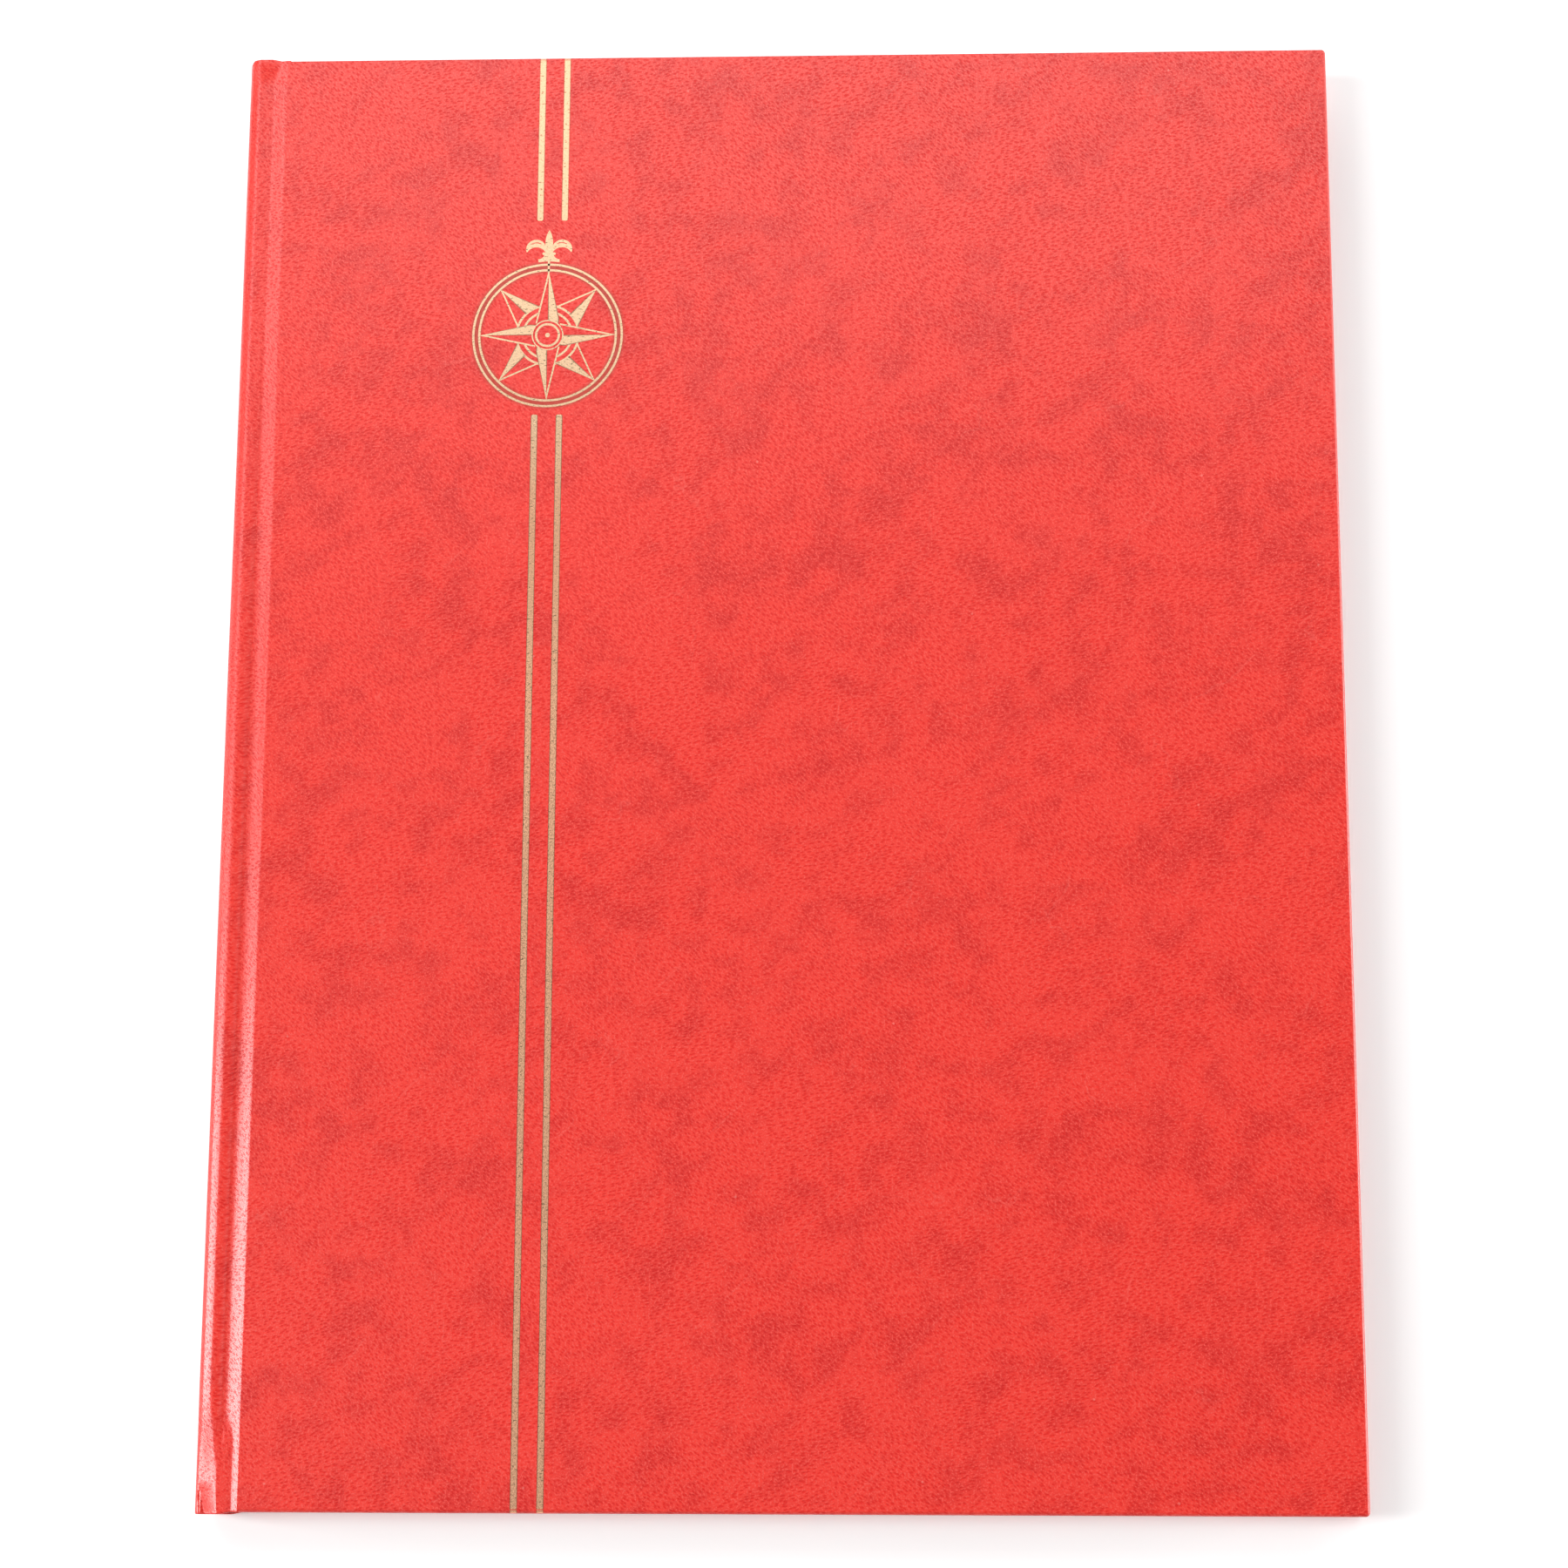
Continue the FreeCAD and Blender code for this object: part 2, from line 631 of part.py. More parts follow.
doc.recompute()
for item in doc.Objects:
    if "Invalid" in item.State or "Error" in item.State:
        raise RuntimeError("%s did not recompute: %s" % (item.Label, item.State))
for node in nodes:
    if node.Shape.isNull() or not node.Shape.isValid() or node.Shape.Volume <= 0:
        raise RuntimeError("%s has no sound solid" % node.Label)

os.makedirs("parts", exist_ok=True)
for node in nodes:
    node.Shape.exportStep("parts/%s.step" % node.Label)
print("%d sub-parts, %.2f mm thick" % (len(nodes), value(album_thickness)))
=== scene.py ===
import math

import bmesh
import bpy
import numpy as np
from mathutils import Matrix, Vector


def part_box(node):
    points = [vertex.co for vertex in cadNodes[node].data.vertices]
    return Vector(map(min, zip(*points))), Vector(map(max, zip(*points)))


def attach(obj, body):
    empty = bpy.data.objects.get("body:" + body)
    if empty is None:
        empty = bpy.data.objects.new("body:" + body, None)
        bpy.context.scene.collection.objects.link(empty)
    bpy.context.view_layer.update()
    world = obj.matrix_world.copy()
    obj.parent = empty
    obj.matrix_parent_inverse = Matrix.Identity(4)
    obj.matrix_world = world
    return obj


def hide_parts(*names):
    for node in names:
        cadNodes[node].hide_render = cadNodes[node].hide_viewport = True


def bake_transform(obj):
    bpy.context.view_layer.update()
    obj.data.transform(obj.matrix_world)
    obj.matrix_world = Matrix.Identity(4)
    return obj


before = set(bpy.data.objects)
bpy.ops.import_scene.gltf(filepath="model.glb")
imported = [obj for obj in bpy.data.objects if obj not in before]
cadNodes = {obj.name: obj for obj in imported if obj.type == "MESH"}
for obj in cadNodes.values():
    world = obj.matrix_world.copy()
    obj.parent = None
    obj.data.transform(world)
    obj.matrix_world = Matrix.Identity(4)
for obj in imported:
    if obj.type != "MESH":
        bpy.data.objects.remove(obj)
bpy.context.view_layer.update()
scene = bpy.context.scene
mm = 0.001
print("frame loaded,", len(cadNodes), "nodes")


def boxInMm(node):
    low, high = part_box(node)
    return np.array(low) / mm, np.array(high) / mm


# lines of the case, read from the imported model, in millimetres
coverLow, coverHigh = boxInMm("front_cover_skin")
spineLow, spineHigh = boxInMm("spine_skin")
boardLine, foreEdge = coverLow[0], coverHigh[0]
halfHeight, topFace = coverHigh[1], coverHigh[2]
spineFace, spineEnd = spineLow[0], spineHigh[1]
coverDepth = coverHigh[2] - coverLow[2]
spineDepth = spineHigh[0] - spineLow[0]


# node helpers
def addNode(tree, kind, inputs=None, **settings):
    made = tree.nodes.new("ShaderNode" + kind)
    for key, item in settings.items():
        setattr(made, key, item)
    for key, item in (inputs or {}).items():
        if isinstance(item, bpy.types.NodeSocket):
            tree.links.new(item, made.inputs[key])
        else:
            made.inputs[key].default_value = item
    return made


def newMaterial(name):
    # returns the material, its tree, its shader and Object coordinates in millimetres
    material = bpy.data.materials.new(name)
    material.use_nodes = True
    tree = material.node_tree
    coords = addNode(tree, "TexCoord").outputs["Object"]
    inMm = addNode(tree, "Mapping", {"Vector": coords, "Scale": (1 / mm,) * 3}).outputs[0]
    return material, tree, tree.nodes["Principled BSDF"], inMm


def stretch(tree, vector, scale, turn=0.0):
    inputs = {"Vector": vector, "Scale": scale, "Rotation": (0, 0, math.radians(turn))}
    return addNode(tree, "Mapping", inputs).outputs[0]


def slanted(tree, vector, turn, length, width):
    # coordinates turned first, so that a pattern is drawn out along that direction
    inputs = {"Vector": vector, "Rotation": (0, 0, math.radians(turn)), "Scale": (length, width, 1)}
    return addNode(tree, "Mapping", inputs, vector_type="TEXTURE").outputs[0]


def noise(tree, vector, perMm, detail=2.0, roughness=0.5, space="3D"):
    inputs = {"Vector": vector, "Scale": perMm, "Detail": detail, "Roughness": roughness}
    return addNode(tree, "TexNoise", inputs, noise_dimensions=space).outputs[0]


def cells(tree, vector, perMm, feature="F1"):
    inputs = {"Vector": vector, "Scale": perMm}
    return addNode(tree, "TexVoronoi", inputs, voronoi_dimensions="2D", feature=feature).outputs["Distance"]


def calc(tree, operation, one, two=0.0):
    return addNode(tree, "Math", {0: one, 1: two}, operation=operation).outputs[0]


def scaledSum(tree, one, oneShare, two, twoShare):
    scaled = [calc(tree, "MULTIPLY", item, share) for item, share in ((one, oneShare), (two, twoShare))]
    return calc(tree, "ADD", *scaled)


def dot(tree, vector, way):
    return addNode(tree, "VectorMath", {0: vector, 1: way}, operation="DOT_PRODUCT").outputs["Value"]


def lengthOf(tree, vector):
    return addNode(tree, "VectorMath", {0: vector}, operation="LENGTH").outputs["Value"]


def awayFrom(tree, item, place):
    return calc(tree, "ABSOLUTE", calc(tree, "SUBTRACT", item, place))


def mixed(tree, share, one, two):
    return addNode(tree, "Mix", {0: share, 2: one, 3: two}).outputs[0]


def remap(tree, item, low, high, toLow=0.0, toHigh=1.0):
    inputs = {0: item, 1: low, 2: high, 3: toLow, 4: toHigh}
    return addNode(tree, "MapRange", inputs, interpolation_type="SMOOTHSTEP").outputs[0]


def blendColour(tree, share, one, two, how="MIX"):
    return addNode(tree, "Mix", {0: share, 6: one, 7: two}, data_type="RGBA", blend_type=how).outputs[2]


def bump(tree, height, distance, strength=1.0):
    return addNode(tree, "Bump", {"Height": height, "Distance": distance, "Strength": strength}).outputs[0]


def setShader(tree, shader, **items):
    # sockets by name, with spaces left out: a plain value is set, a socket is linked
    names = {socket.name.replace(" ", "").lower(): socket for socket in shader.inputs}
    for key, item in items.items():
        socket = names[key.lower()]
        if isinstance(item, bpy.types.NodeSocket):
            tree.links.new(item, socket)
        else:
            socket.default_value = item


# in the looks below a noise is its scale per millimetre, detail and roughness,
# a range is where a change starts and where it is complete, and a tint is the largest share of a colour

# leatherette: red coated paper, darker cloudy mottles, fine grain with painted shade in its pits and painted
# sheen on its high points, a few faint creases, and a painted highlight over the fore edge's rim
leatherLook = {
    "bright": (0.855, 0.0275, 0.0135, 1), "dark": (0.70, 0.0125, 0.006, 1), "crease": (0.95, 0.30, 0.25, 1),
    "raised": (0.90, 0.080, 0.058, 1), "pit": (0.85, 0.34, 0.32, 1), "rim": (0.90, 0.15, 0.13, 1),
    "stamped": (0.46, 0.034, 0.012, 1), "heightShare": 0.7,
    "grainPerMm": 1.15, "grainTurns": (-38, 12), "grainLong": 1.55, "grainWide": 0.72, "grainHeight": 0.10,
    "turnNoise": (0.035, 1, 0.5), "turnRange": (0.42, 0.58), "pitRange": (0.10, 0.42), "pitTint": 0.9,
    "fineNoise": (2.6, 1, 0.6), "fineRise": 0.5, "pitSink": 0.35,
    "raisedRange": (0.24, 0.36), "raisedTint": 0.75,
    "drawTurn": 38, "mottleLong": 1.12, "mottleWide": 0.95, "mottleRange": (0.42, 0.70),
    "cloudNoise": (0.05, 3, 0.6), "cloudShare": 0.48, "spotNoise": (0.16, 2, 0.55), "spotShare": 0.52,
    "wanderNoise": (0.07, 3, 0.6), "wander": 22.0, "creasePerMm": 0.035, "creaseLong": 1.8,
    "creaseWide": 0.9, "creaseRange": (0.002, 0.010), "creaseTint": 0.08,
    "placeNoise": (0.08, 1, 0.5), "placeRange": (0.54, 0.68),
    "specksPerMm": 0.016, "speckRange": (0.002, 0.0055), "speckTint": 0.35,
    "rimWidth": 0.75, "rimFade": 0.4, "rimTint": 0.6, "rimCoat": 0.48,
    "stampRange": (0.6, 1.7), "stampTint": 0.85, "stampFlatten": 10.0,
    "roughness": 0.44, "ior": 1.5, "specular": 0.25,
    "coatRange": (-0.1, 0.3), "coat": (0.105, 0.29), "coatRoughness": 0.22, "coatIor": 2.4,
}


def flatCoords(tree, inMm):
    # two coordinates that run over the faces, the edges and the spine alike
    along = dot(tree, inMm, (1, 0, 1))
    up = dot(tree, inMm, (0, 1, leatherLook["heightShare"]))
    return addNode(tree, "CombineXYZ", {0: along, 1: up}).outputs[0]


def leatherGrain(tree, flat):
    # pits: 1 in small drawn-out hollows whose direction changes from place to place, 0 between them
    # height: low in a pit, roughened by finer noise
    look = leatherLook
    drawn = [slanted(tree, flat, turn, look["grainLong"], look["grainWide"]) for turn in look["grainTurns"]]
    ways = [cells(tree, vector, look["grainPerMm"]) for vector in drawn]
    place = remap(tree, noise(tree, flat, *look["turnNoise"], "2D"), *look["turnRange"])
    pits = remap(tree, mixed(tree, place, *ways), *look["pitRange"], 1.0, 0.0)
    fine = noise(tree, flat, *look["fineNoise"], "2D")
    return pits, scaledSum(tree, fine, look["fineRise"], pits, -look["pitSink"])


def leatherCreases(tree, flat):
    # pale lines between large wandering cells in a few places, and small pale specks
    look = leatherLook
    wander = calc(tree, "MULTIPLY", noise(tree, flat, *look["wanderNoise"], "2D"), look["wander"])
    shift = addNode(tree, "CombineXYZ", {0: wander, 1: wander}).outputs[0]
    bent = addNode(tree, "VectorMath", {0: flat, 1: shift}).outputs[0]
    drawn = slanted(tree, bent, look["drawTurn"], look["creaseLong"], look["creaseWide"])
    lines = cells(tree, drawn, look["creasePerMm"], "DISTANCE_TO_EDGE")
    places = noise(tree, flat, *look["placeNoise"], "2D")
    where = remap(tree, places, *look["placeRange"], 0.0, look["creaseTint"])
    crease = calc(tree, "MULTIPLY", remap(tree, lines, *look["creaseRange"], 1.0, 0.0), where)
    specks = cells(tree, flat, look["specksPerMm"])
    return calc(tree, "MAXIMUM", crease, remap(tree, specks, *look["speckRange"], look["speckTint"], 0.0))


def makeLeatherette():
    look = leatherLook
    material, tree, shader, inMm = newMaterial("leatherette")
    flat = flatCoords(tree, inMm)
    drawn = slanted(tree, flat, look["drawTurn"], look["mottleLong"], look["mottleWide"])
    cloud, spots = [noise(tree, drawn, *look[key], "2D") for key in ("cloudNoise", "spotNoise")]
    patchy = scaledSum(tree, cloud, look["cloudShare"], spots, look["spotShare"])
    pits, grain = leatherGrain(tree, flat)
    colour = blendColour(tree, remap(tree, patchy, *look["mottleRange"]), look["bright"], look["dark"])
    # painted shade in the pits of the grain: their colour is darkened and made deeper red
    pitShade = calc(tree, "MULTIPLY", pits, look["pitTint"])
    colour = blendColour(tree, pitShade, colour, look["pit"], "MULTIPLY")
    # painted sheen: the high points of the grain are made paler and whiter
    raised = remap(tree, grain, *look["raisedRange"], 0.0, look["raisedTint"])
    colour = blendColour(tree, raised, colour, look["raised"])
    colour = blendColour(tree, leatherCreases(tree, flat), colour, look["crease"])
    # over the rim of the fore edge: a paler colour, which is a painted highlight, and a shinier coat where
    # the sheet is stretched
    rimStart = foreEdge - look["rimWidth"]
    across = addNode(tree, "SeparateXYZ", {0: inMm}).outputs[0]
    rim = remap(tree, across, rimStart, rimStart + look["rimFade"], 0.0, look["rimTint"])
    colour = blendColour(tree, rim, colour, look["rim"])
    coat = remap(tree, grain, *look["coatRange"], *look["coat"])
    coat = calc(tree, "MAXIMUM", coat, calc(tree, "MULTIPLY", rim, look["rimCoat"]))
    setShader(tree, shader, BaseColor=colour, Roughness=look["roughness"], IOR=look["ior"],
              SpecularIORLevel=look["specular"], Normal=bump(tree, grain, look["grainHeight"] * mm),
              CoatWeight=coat, CoatRoughness=look["coatRoughness"], CoatIOR=look["coatIor"])
    return material


# gold foil: pressed metal film that follows the leather's grain, with rubbed flakes and dark flecks
goldLook = {
    "bright": (0.95, 0.52, 0.315, 1), "onRose": (0.79, 0.535, 0.335, 1), "rubbed": (0.45, 0.24, 0.14, 1),
    "pressed": (0.16, 0.045, 0.025, 1), "fleck": (0.20, 0.15, 0.08, 1),
    "wornFrom": 50.0, "wornReach": 50.0, "wornLimit": (0.44, 0.62), "wornFade": 0.1, "wornTint": 0.7,
    "roseFrom": 85.0, "roseRange": (15.0, 36.0),
    "flakeNoise": (2.6, 3, 0.7), "flakeStretch": (1.4, 0.8, 1), "flakeTurn": 35,
    "fleckNoise": (1.6, 1, 0.5), "fleckStretch": (0.7, 1.9, 1), "fleckTurn": 20,
    "fleckRange": (0.67, 0.73), "fleckTint": 0.8, "edgeRange": (0.70, 1.0), "edgeTint": 0.85,
    "roughRange": (0.35, 0.7), "rough": (0.20, 0.36), "grainHeight": 0.03, "grainStrength": 0.3,
}


def makeGold():
    # most rubbed on the rules just below the rose; yellower on the rose, which is painted light, and painted
    # shade along the edges of each line
    look = goldLook
    material, tree, shader, inMm = newMaterial("goldFoil")
    grain = leatherGrain(tree, inMm)[1]
    along = addNode(tree, "SeparateXYZ", {0: inMm}).outputs[1]
    limit = remap(tree, awayFrom(tree, along, look["wornFrom"]), 0.0, look["wornReach"], *look["wornLimit"])
    flakeCoords = stretch(tree, inMm, look["flakeStretch"], look["flakeTurn"])
    flakes = noise(tree, flakeCoords, *look["flakeNoise"], "2D")
    worn = remap(tree, calc(tree, "SUBTRACT", flakes, limit), 0.0, look["wornFade"])
    # painted light: on the rose the gold is made yellower, standing in for the brighter reflected light there
    offRose = remap(tree, awayFrom(tree, along, look["roseFrom"]), *look["roseRange"])
    colour = blendColour(tree, offRose, look["onRose"], look["bright"])
    colour = blendColour(tree, calc(tree, "MULTIPLY", worn, look["wornTint"]), colour, look["rubbed"])
    fleckCoords = stretch(tree, inMm, look["fleckStretch"], look["fleckTurn"])
    flecks = noise(tree, fleckCoords, *look["fleckNoise"], "2D")
    flecked = remap(tree, flecks, *look["fleckRange"], 0.0, look["fleckTint"])
    colour = blendColour(tree, flecked, colour, look["fleck"])
    # painted shade along the edges of every foil line, darkest on the outer rows
    edge = addNode(tree, "Attribute", attribute_name="edge").outputs["Fac"]
    pressed = remap(tree, edge, *look["edgeRange"], 0.0, look["edgeTint"])
    colour = blendColour(tree, pressed, colour, look["pressed"])
    setShader(tree, shader, BaseColor=colour, Metallic=1.0,
              Roughness=remap(tree, flakes, *look["roughRange"], *look["rough"]),
              Normal=bump(tree, grain, look["grainHeight"] * mm, look["grainStrength"]))
    return material


# papers and card of the inside: fibres and faint clouds
paperLook = {
    "fibreNoise": (1.8, 4, 0.65), "fibreStretch": (1.0, 0.25, 1.0), "fibreTurn": 20,
    "fibreRange": (0.5, 0.75), "cloudNoise": (0.12, 3, 0.5), "cloudRange": (0.4, 0.7), "cloudPart": 3,
    "specular": 0.2, "toothStrength": 0.5,
}
paperKinds = {
    # base colour, fleck colour, share of flecks, tooth in millimetres, roughness
    "greyboard": ((0.36, 0.34, 0.31, 1), (0.52, 0.50, 0.46, 1), 0.8, 0.06, 0.9),
    "endpaper": ((0.84, 0.82, 0.77, 1), (0.76, 0.73, 0.66, 1), 0.35, 0.02, 0.75),
    "blackCard": ((0.012, 0.012, 0.013, 1), (0.035, 0.035, 0.037, 1), 0.7, 0.03, 0.7),
}


def makePaper(name, base, fleck, flecks, tooth, rough):
    look = paperLook
    material, tree, shader, inMm = newMaterial(name)
    fibreCoords = stretch(tree, inMm, look["fibreStretch"], look["fibreTurn"])
    fibre = noise(tree, fibreCoords, *look["fibreNoise"])
    cloud = noise(tree, inMm, *look["cloudNoise"])
    share = calc(tree, "ADD", remap(tree, fibre, *look["fibreRange"], 0.0, flecks),
                 remap(tree, cloud, *look["cloudRange"], 0.0, flecks / look["cloudPart"]))
    setShader(tree, shader, BaseColor=blendColour(tree, share, base, fleck), Roughness=rough,
              SpecularIORLevel=look["specular"], Normal=bump(tree, fibre, tooth * mm, look["toothStrength"]))
    return material


# linen: crossed threads with slubs
linenLook = {
    "dark": (0.012, 0.012, 0.013, 1), "light": (0.055, 0.054, 0.056, 1), "threadsPerMm": 0.42, "uneven": 1.2,
    "threadDetail": 1, "weaveShare": 0.6, "weaveHeight": 0.08, "weaveStrength": 0.8,
    "slubNoise": (1.2, 2), "slubStretch": (0.15, 1.5, 1), "slubShare": 0.4, "roughness": 0.85, "sheen": 0.15,
}


def makeLinen():
    look = linenLook
    material, tree, shader, inMm = newMaterial("linen")
    inputs = {"Vector": inMm, "Scale": look["threadsPerMm"], "Distortion": look["uneven"],
              "Detail": look["threadDetail"]}
    threads = [addNode(tree, "TexWave", inputs, wave_type="BANDS", wave_profile="SIN", bands_direction=way)
               for way in ("X", "Y")]
    weave = calc(tree, "MULTIPLY", *[thread.outputs[1] for thread in threads])
    slub = noise(tree, stretch(tree, inMm, look["slubStretch"]), *look["slubNoise"])
    share = scaledSum(tree, weave, look["weaveShare"], slub, look["slubShare"])
    setShader(tree, shader, BaseColor=blendColour(tree, share, look["dark"], look["light"]),
              Roughness=look["roughness"], SheenWeight=look["sheen"],
              Normal=bump(tree, weave, look["weaveHeight"] * mm, look["weaveStrength"]))
    return material


# clear film of the pocket strips: rippled gloss
filmLook = {
    "tint": (0.97, 0.98, 1.0, 1), "ior": 1.3, "rippleNoise": (0.09, 2), "rippleStretch": (0.25, 1.0, 1.0),
    "rippleRange": (0.3, 0.7), "rough": (0.02, 0.06),
}


def makeFilm():
    look = filmLook
    material, tree, shader, inMm = newMaterial("clearFilm")
    ripple = noise(tree, stretch(tree, inMm, look["rippleStretch"]), *look["rippleNoise"])
    setShader(tree, shader, BaseColor=look["tint"], TransmissionWeight=1.0, IOR=look["ior"],
              Roughness=remap(tree, ripple, *look["rippleRange"], *look["rough"]))
    return material


# glassine of the interleaves: half clear, fibrous and crinkled
glassineLook = {
    "shade": (0.84, 0.84, 0.81, 1), "light": (0.88, 0.88, 0.85, 1), "fibreNoise": (0.8, 5, 0.7),
    "fibreStretch": (0.3, 1.0, 1.0), "fibreTurn": 8, "crinkleNoise": (0.05, 3, 0.5),
    "crinkleRange": (0.3, 0.7), "rough": (0.28, 0.42), "alpha": (0.36, 0.42),
    "crinkleHeight": 1.2, "crinkleStrength": 0.3,
}


def makeGlassine():
    look = glassineLook
    material, tree, shader, inMm = newMaterial("glassine")
    fibreCoords = stretch(tree, inMm, look["fibreStretch"], look["fibreTurn"])
    fibre = noise(tree, fibreCoords, *look["fibreNoise"])
    crinkle = noise(tree, inMm, *look["crinkleNoise"])
    rough, alpha = [remap(tree, crinkle, *look["crinkleRange"], *look[key]) for key in ("rough", "alpha")]
    setShader(tree, shader, BaseColor=blendColour(tree, fibre, look["shade"], look["light"]),
              Roughness=rough, Alpha=alpha,
              Normal=bump(tree, crinkle, look["crinkleHeight"] * mm, look["crinkleStrength"]))
    return material


leatherette = makeLeatherette()
goldFoil = makeGold()
greyboard, endpaper, blackCard = [makePaper(name, *items) for name, items in paperKinds.items()]
linen = makeLinen()
clearFilm = makeFilm()
glassine = makeGlassine()
print("materials made")

# mesh helpers
meshCare = {"weld": 0.002, "crispAngle": 40}  # millimetres and degrees


def gridFaces(rows, columns, first):
    # corner numbers of every quad between neighbouring rows and columns of a grid
    start = (np.arange(rows - 1)[:, None] * columns + np.arange(columns - 1)[None, :]).ravel() + first
    return np.stack([start, start + 1, start + columns + 1, start + columns], axis=1)


def facing(grid, outward):
    # rows reversed where the grid's summed face areas look away from outward
    area = np.cross(grid[1:, 1:] - grid[:-1, :-1], grid[1:, :-1] - grid[:-1, 1:]).sum((0, 1))
    return grid if np.dot(area, outward) > 0 else grid[::-1]


def buildPiece(name, grids, material, edge=None):
    # one mesh of several point grids, welded where they meet; edge holds a foil's share of painted edge shade
    # for every point
    points = np.concatenate([grid.reshape(-1, 3) for grid in grids]) * mm
    firsts = np.cumsum([0] + [grid.shape[0] * grid.shape[1] for grid in grids[:-1]])
    faces = np.concatenate([gridFaces(*grid.shape[:2], first) for grid, first in zip(grids, firsts)])
    mesh = bpy.data.meshes.new(name)
    mesh.from_pydata(points.tolist(), [], faces.tolist())
    if edge is not None:
        mesh.attributes.new("edge", "FLOAT", "POINT").data.foreach_set("value", edge)
    work = bmesh.new()
    work.from_mesh(mesh)
    bmesh.ops.remove_doubles(work, verts=work.verts, dist=meshCare["weld"] * mm)
    work.to_mesh(mesh)
    work.free()
    mesh.validate()
    mesh.shade_smooth()
    mesh.materials.append(material)
    piece = bpy.data.objects.new(name, mesh)
    scene.collection.objects.link(piece)
    return piece


def thicken(piece, thickness):
    # wall on the inner side, with sharp edges kept crisp
    wall = piece.modifiers.new("wall", "SOLIDIFY")
    wall.thickness = thickness * mm
    wall.offset = -1
    wall.use_even_offset = True
    bpy.context.view_layer.update()
    walled = bpy.data.meshes.new_from_object(piece.evaluated_get(bpy.context.evaluated_depsgraph_get()))
    piece.modifiers.clear()
    plain, piece.data = piece.data, walled
    bpy.data.meshes.remove(plain)
    walled.name = piece.name
    walled.set_sharp_from_angle(angle=math.radians(meshCare["crispAngle"]))


# covers: the leatherette sheet from its turned-in edge round the board's rim to the middle of the face
coverShape = {
    "edgeRadius": 0.8, "cornerRadius": 0.9, "turnIn": 15.0, "sheet": 0.28, "rimSteps": 9, "turnInSteps": 6,
    "faceSteps": 16, "headSteps": 40, "cornerSteps": 12, "foreSteps": 60, "wallSteps": 3,
}


def rimLine():
    # quarter circle over the outer rim, then straight to the middle of the face: inset and depth
    edge = coverShape["edgeRadius"]
    quarter = np.linspace(0, math.pi / 2, coverShape["rimSteps"])
    face = np.linspace(edge, halfHeight, coverShape["faceSteps"])[1:]
    inset = np.concatenate([edge - edge * np.cos(quarter), face])
    depth = np.concatenate([edge - edge * np.sin(quarter), 0 * face])
    return inset, depth


def coverSheet(level, inward):
    # point = rim path drawn in by an inset and sunk by a depth, with mitred corners inside the corner radius
    edge, corner = coverShape["edgeRadius"], coverShape["cornerRadius"]
    quarter = np.linspace(0, math.pi / 2, coverShape["rimSteps"])
    layIn = np.linspace(coverShape["turnIn"], edge, coverShape["turnInSteps"])[:-1]
    rimInset, rimDepth = rimLine()
    inset = np.concatenate([layIn, edge - edge * np.sin(quarter), rimInset])[:, None]
    inner = [coverDepth + 0 * layIn, coverDepth - edge + edge * np.cos(quarter)]
    depth = np.concatenate(inner + [rimDepth])[:, None]
    keep = np.maximum(inset, corner)
    lead = foreEdge - boardLine - keep  # hinge edge to the start of the corner
    bend = np.maximum(corner - inset, 0)
    share = np.linspace(0, 1, coverShape["headSteps"])[None, :]
    turn = np.linspace(0, math.pi / 2, coverShape["cornerSteps"])[None, :]
    headX, headY = lead * share, halfHeight - inset + 0 * share
    turnX, turnY = lead + bend * np.sin(turn), halfHeight - keep + bend * np.cos(turn)
    foreY = (halfHeight - keep) * np.linspace(1, -1, coverShape["foreSteps"])[None, :]
    foreX = foreEdge - boardLine - inset + 0 * foreY
    x = np.concatenate([headX, turnX, foreX, turnX[:, ::-1], headX[:, ::-1]], axis=1)
    y = np.concatenate([headY, turnY, foreY, -turnY[:, ::-1], -headY[:, ::-1]], axis=1)
    return np.stack([boardLine + x, y, level + inward * depth + 0 * x], axis=2)


def hingeWall(level, inward):
    # point = straight lines across the board's thickness, from the outer rim line to its mirror image inside
    inset, depth = rimLine()
    half = halfHeight - inset
    y = np.concatenate([half, -half[::-1]])[None, :]
    outer = np.concatenate([depth, depth[::-1]])[None, :]
    share = np.linspace(0, 1, coverShape["wallSteps"])[:, None]
    deep = outer * (1 - share) + (coverDepth - outer) * share
    return np.stack([boardLine + 0 * deep, y + 0 * deep, level + inward * deep], axis=2)


def makeCover(name, node, body, level, inward):
    sheet = facing(coverSheet(level, inward), (0, 0, -inward))
    wall = facing(hingeWall(level, inward), (-1, 0, 0))
    piece = buildPiece(name, [sheet, wall], leatherette)
    thicken(piece, coverShape["sheet"])
    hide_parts(node)
    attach(piece, body)


makeCover("frontCover", "front_cover_skin", "front_cover", topFace, -1)
makeCover("backCover", "back_cover_skin", "back_cover", 0.0, 1)
print("covers wrapped")

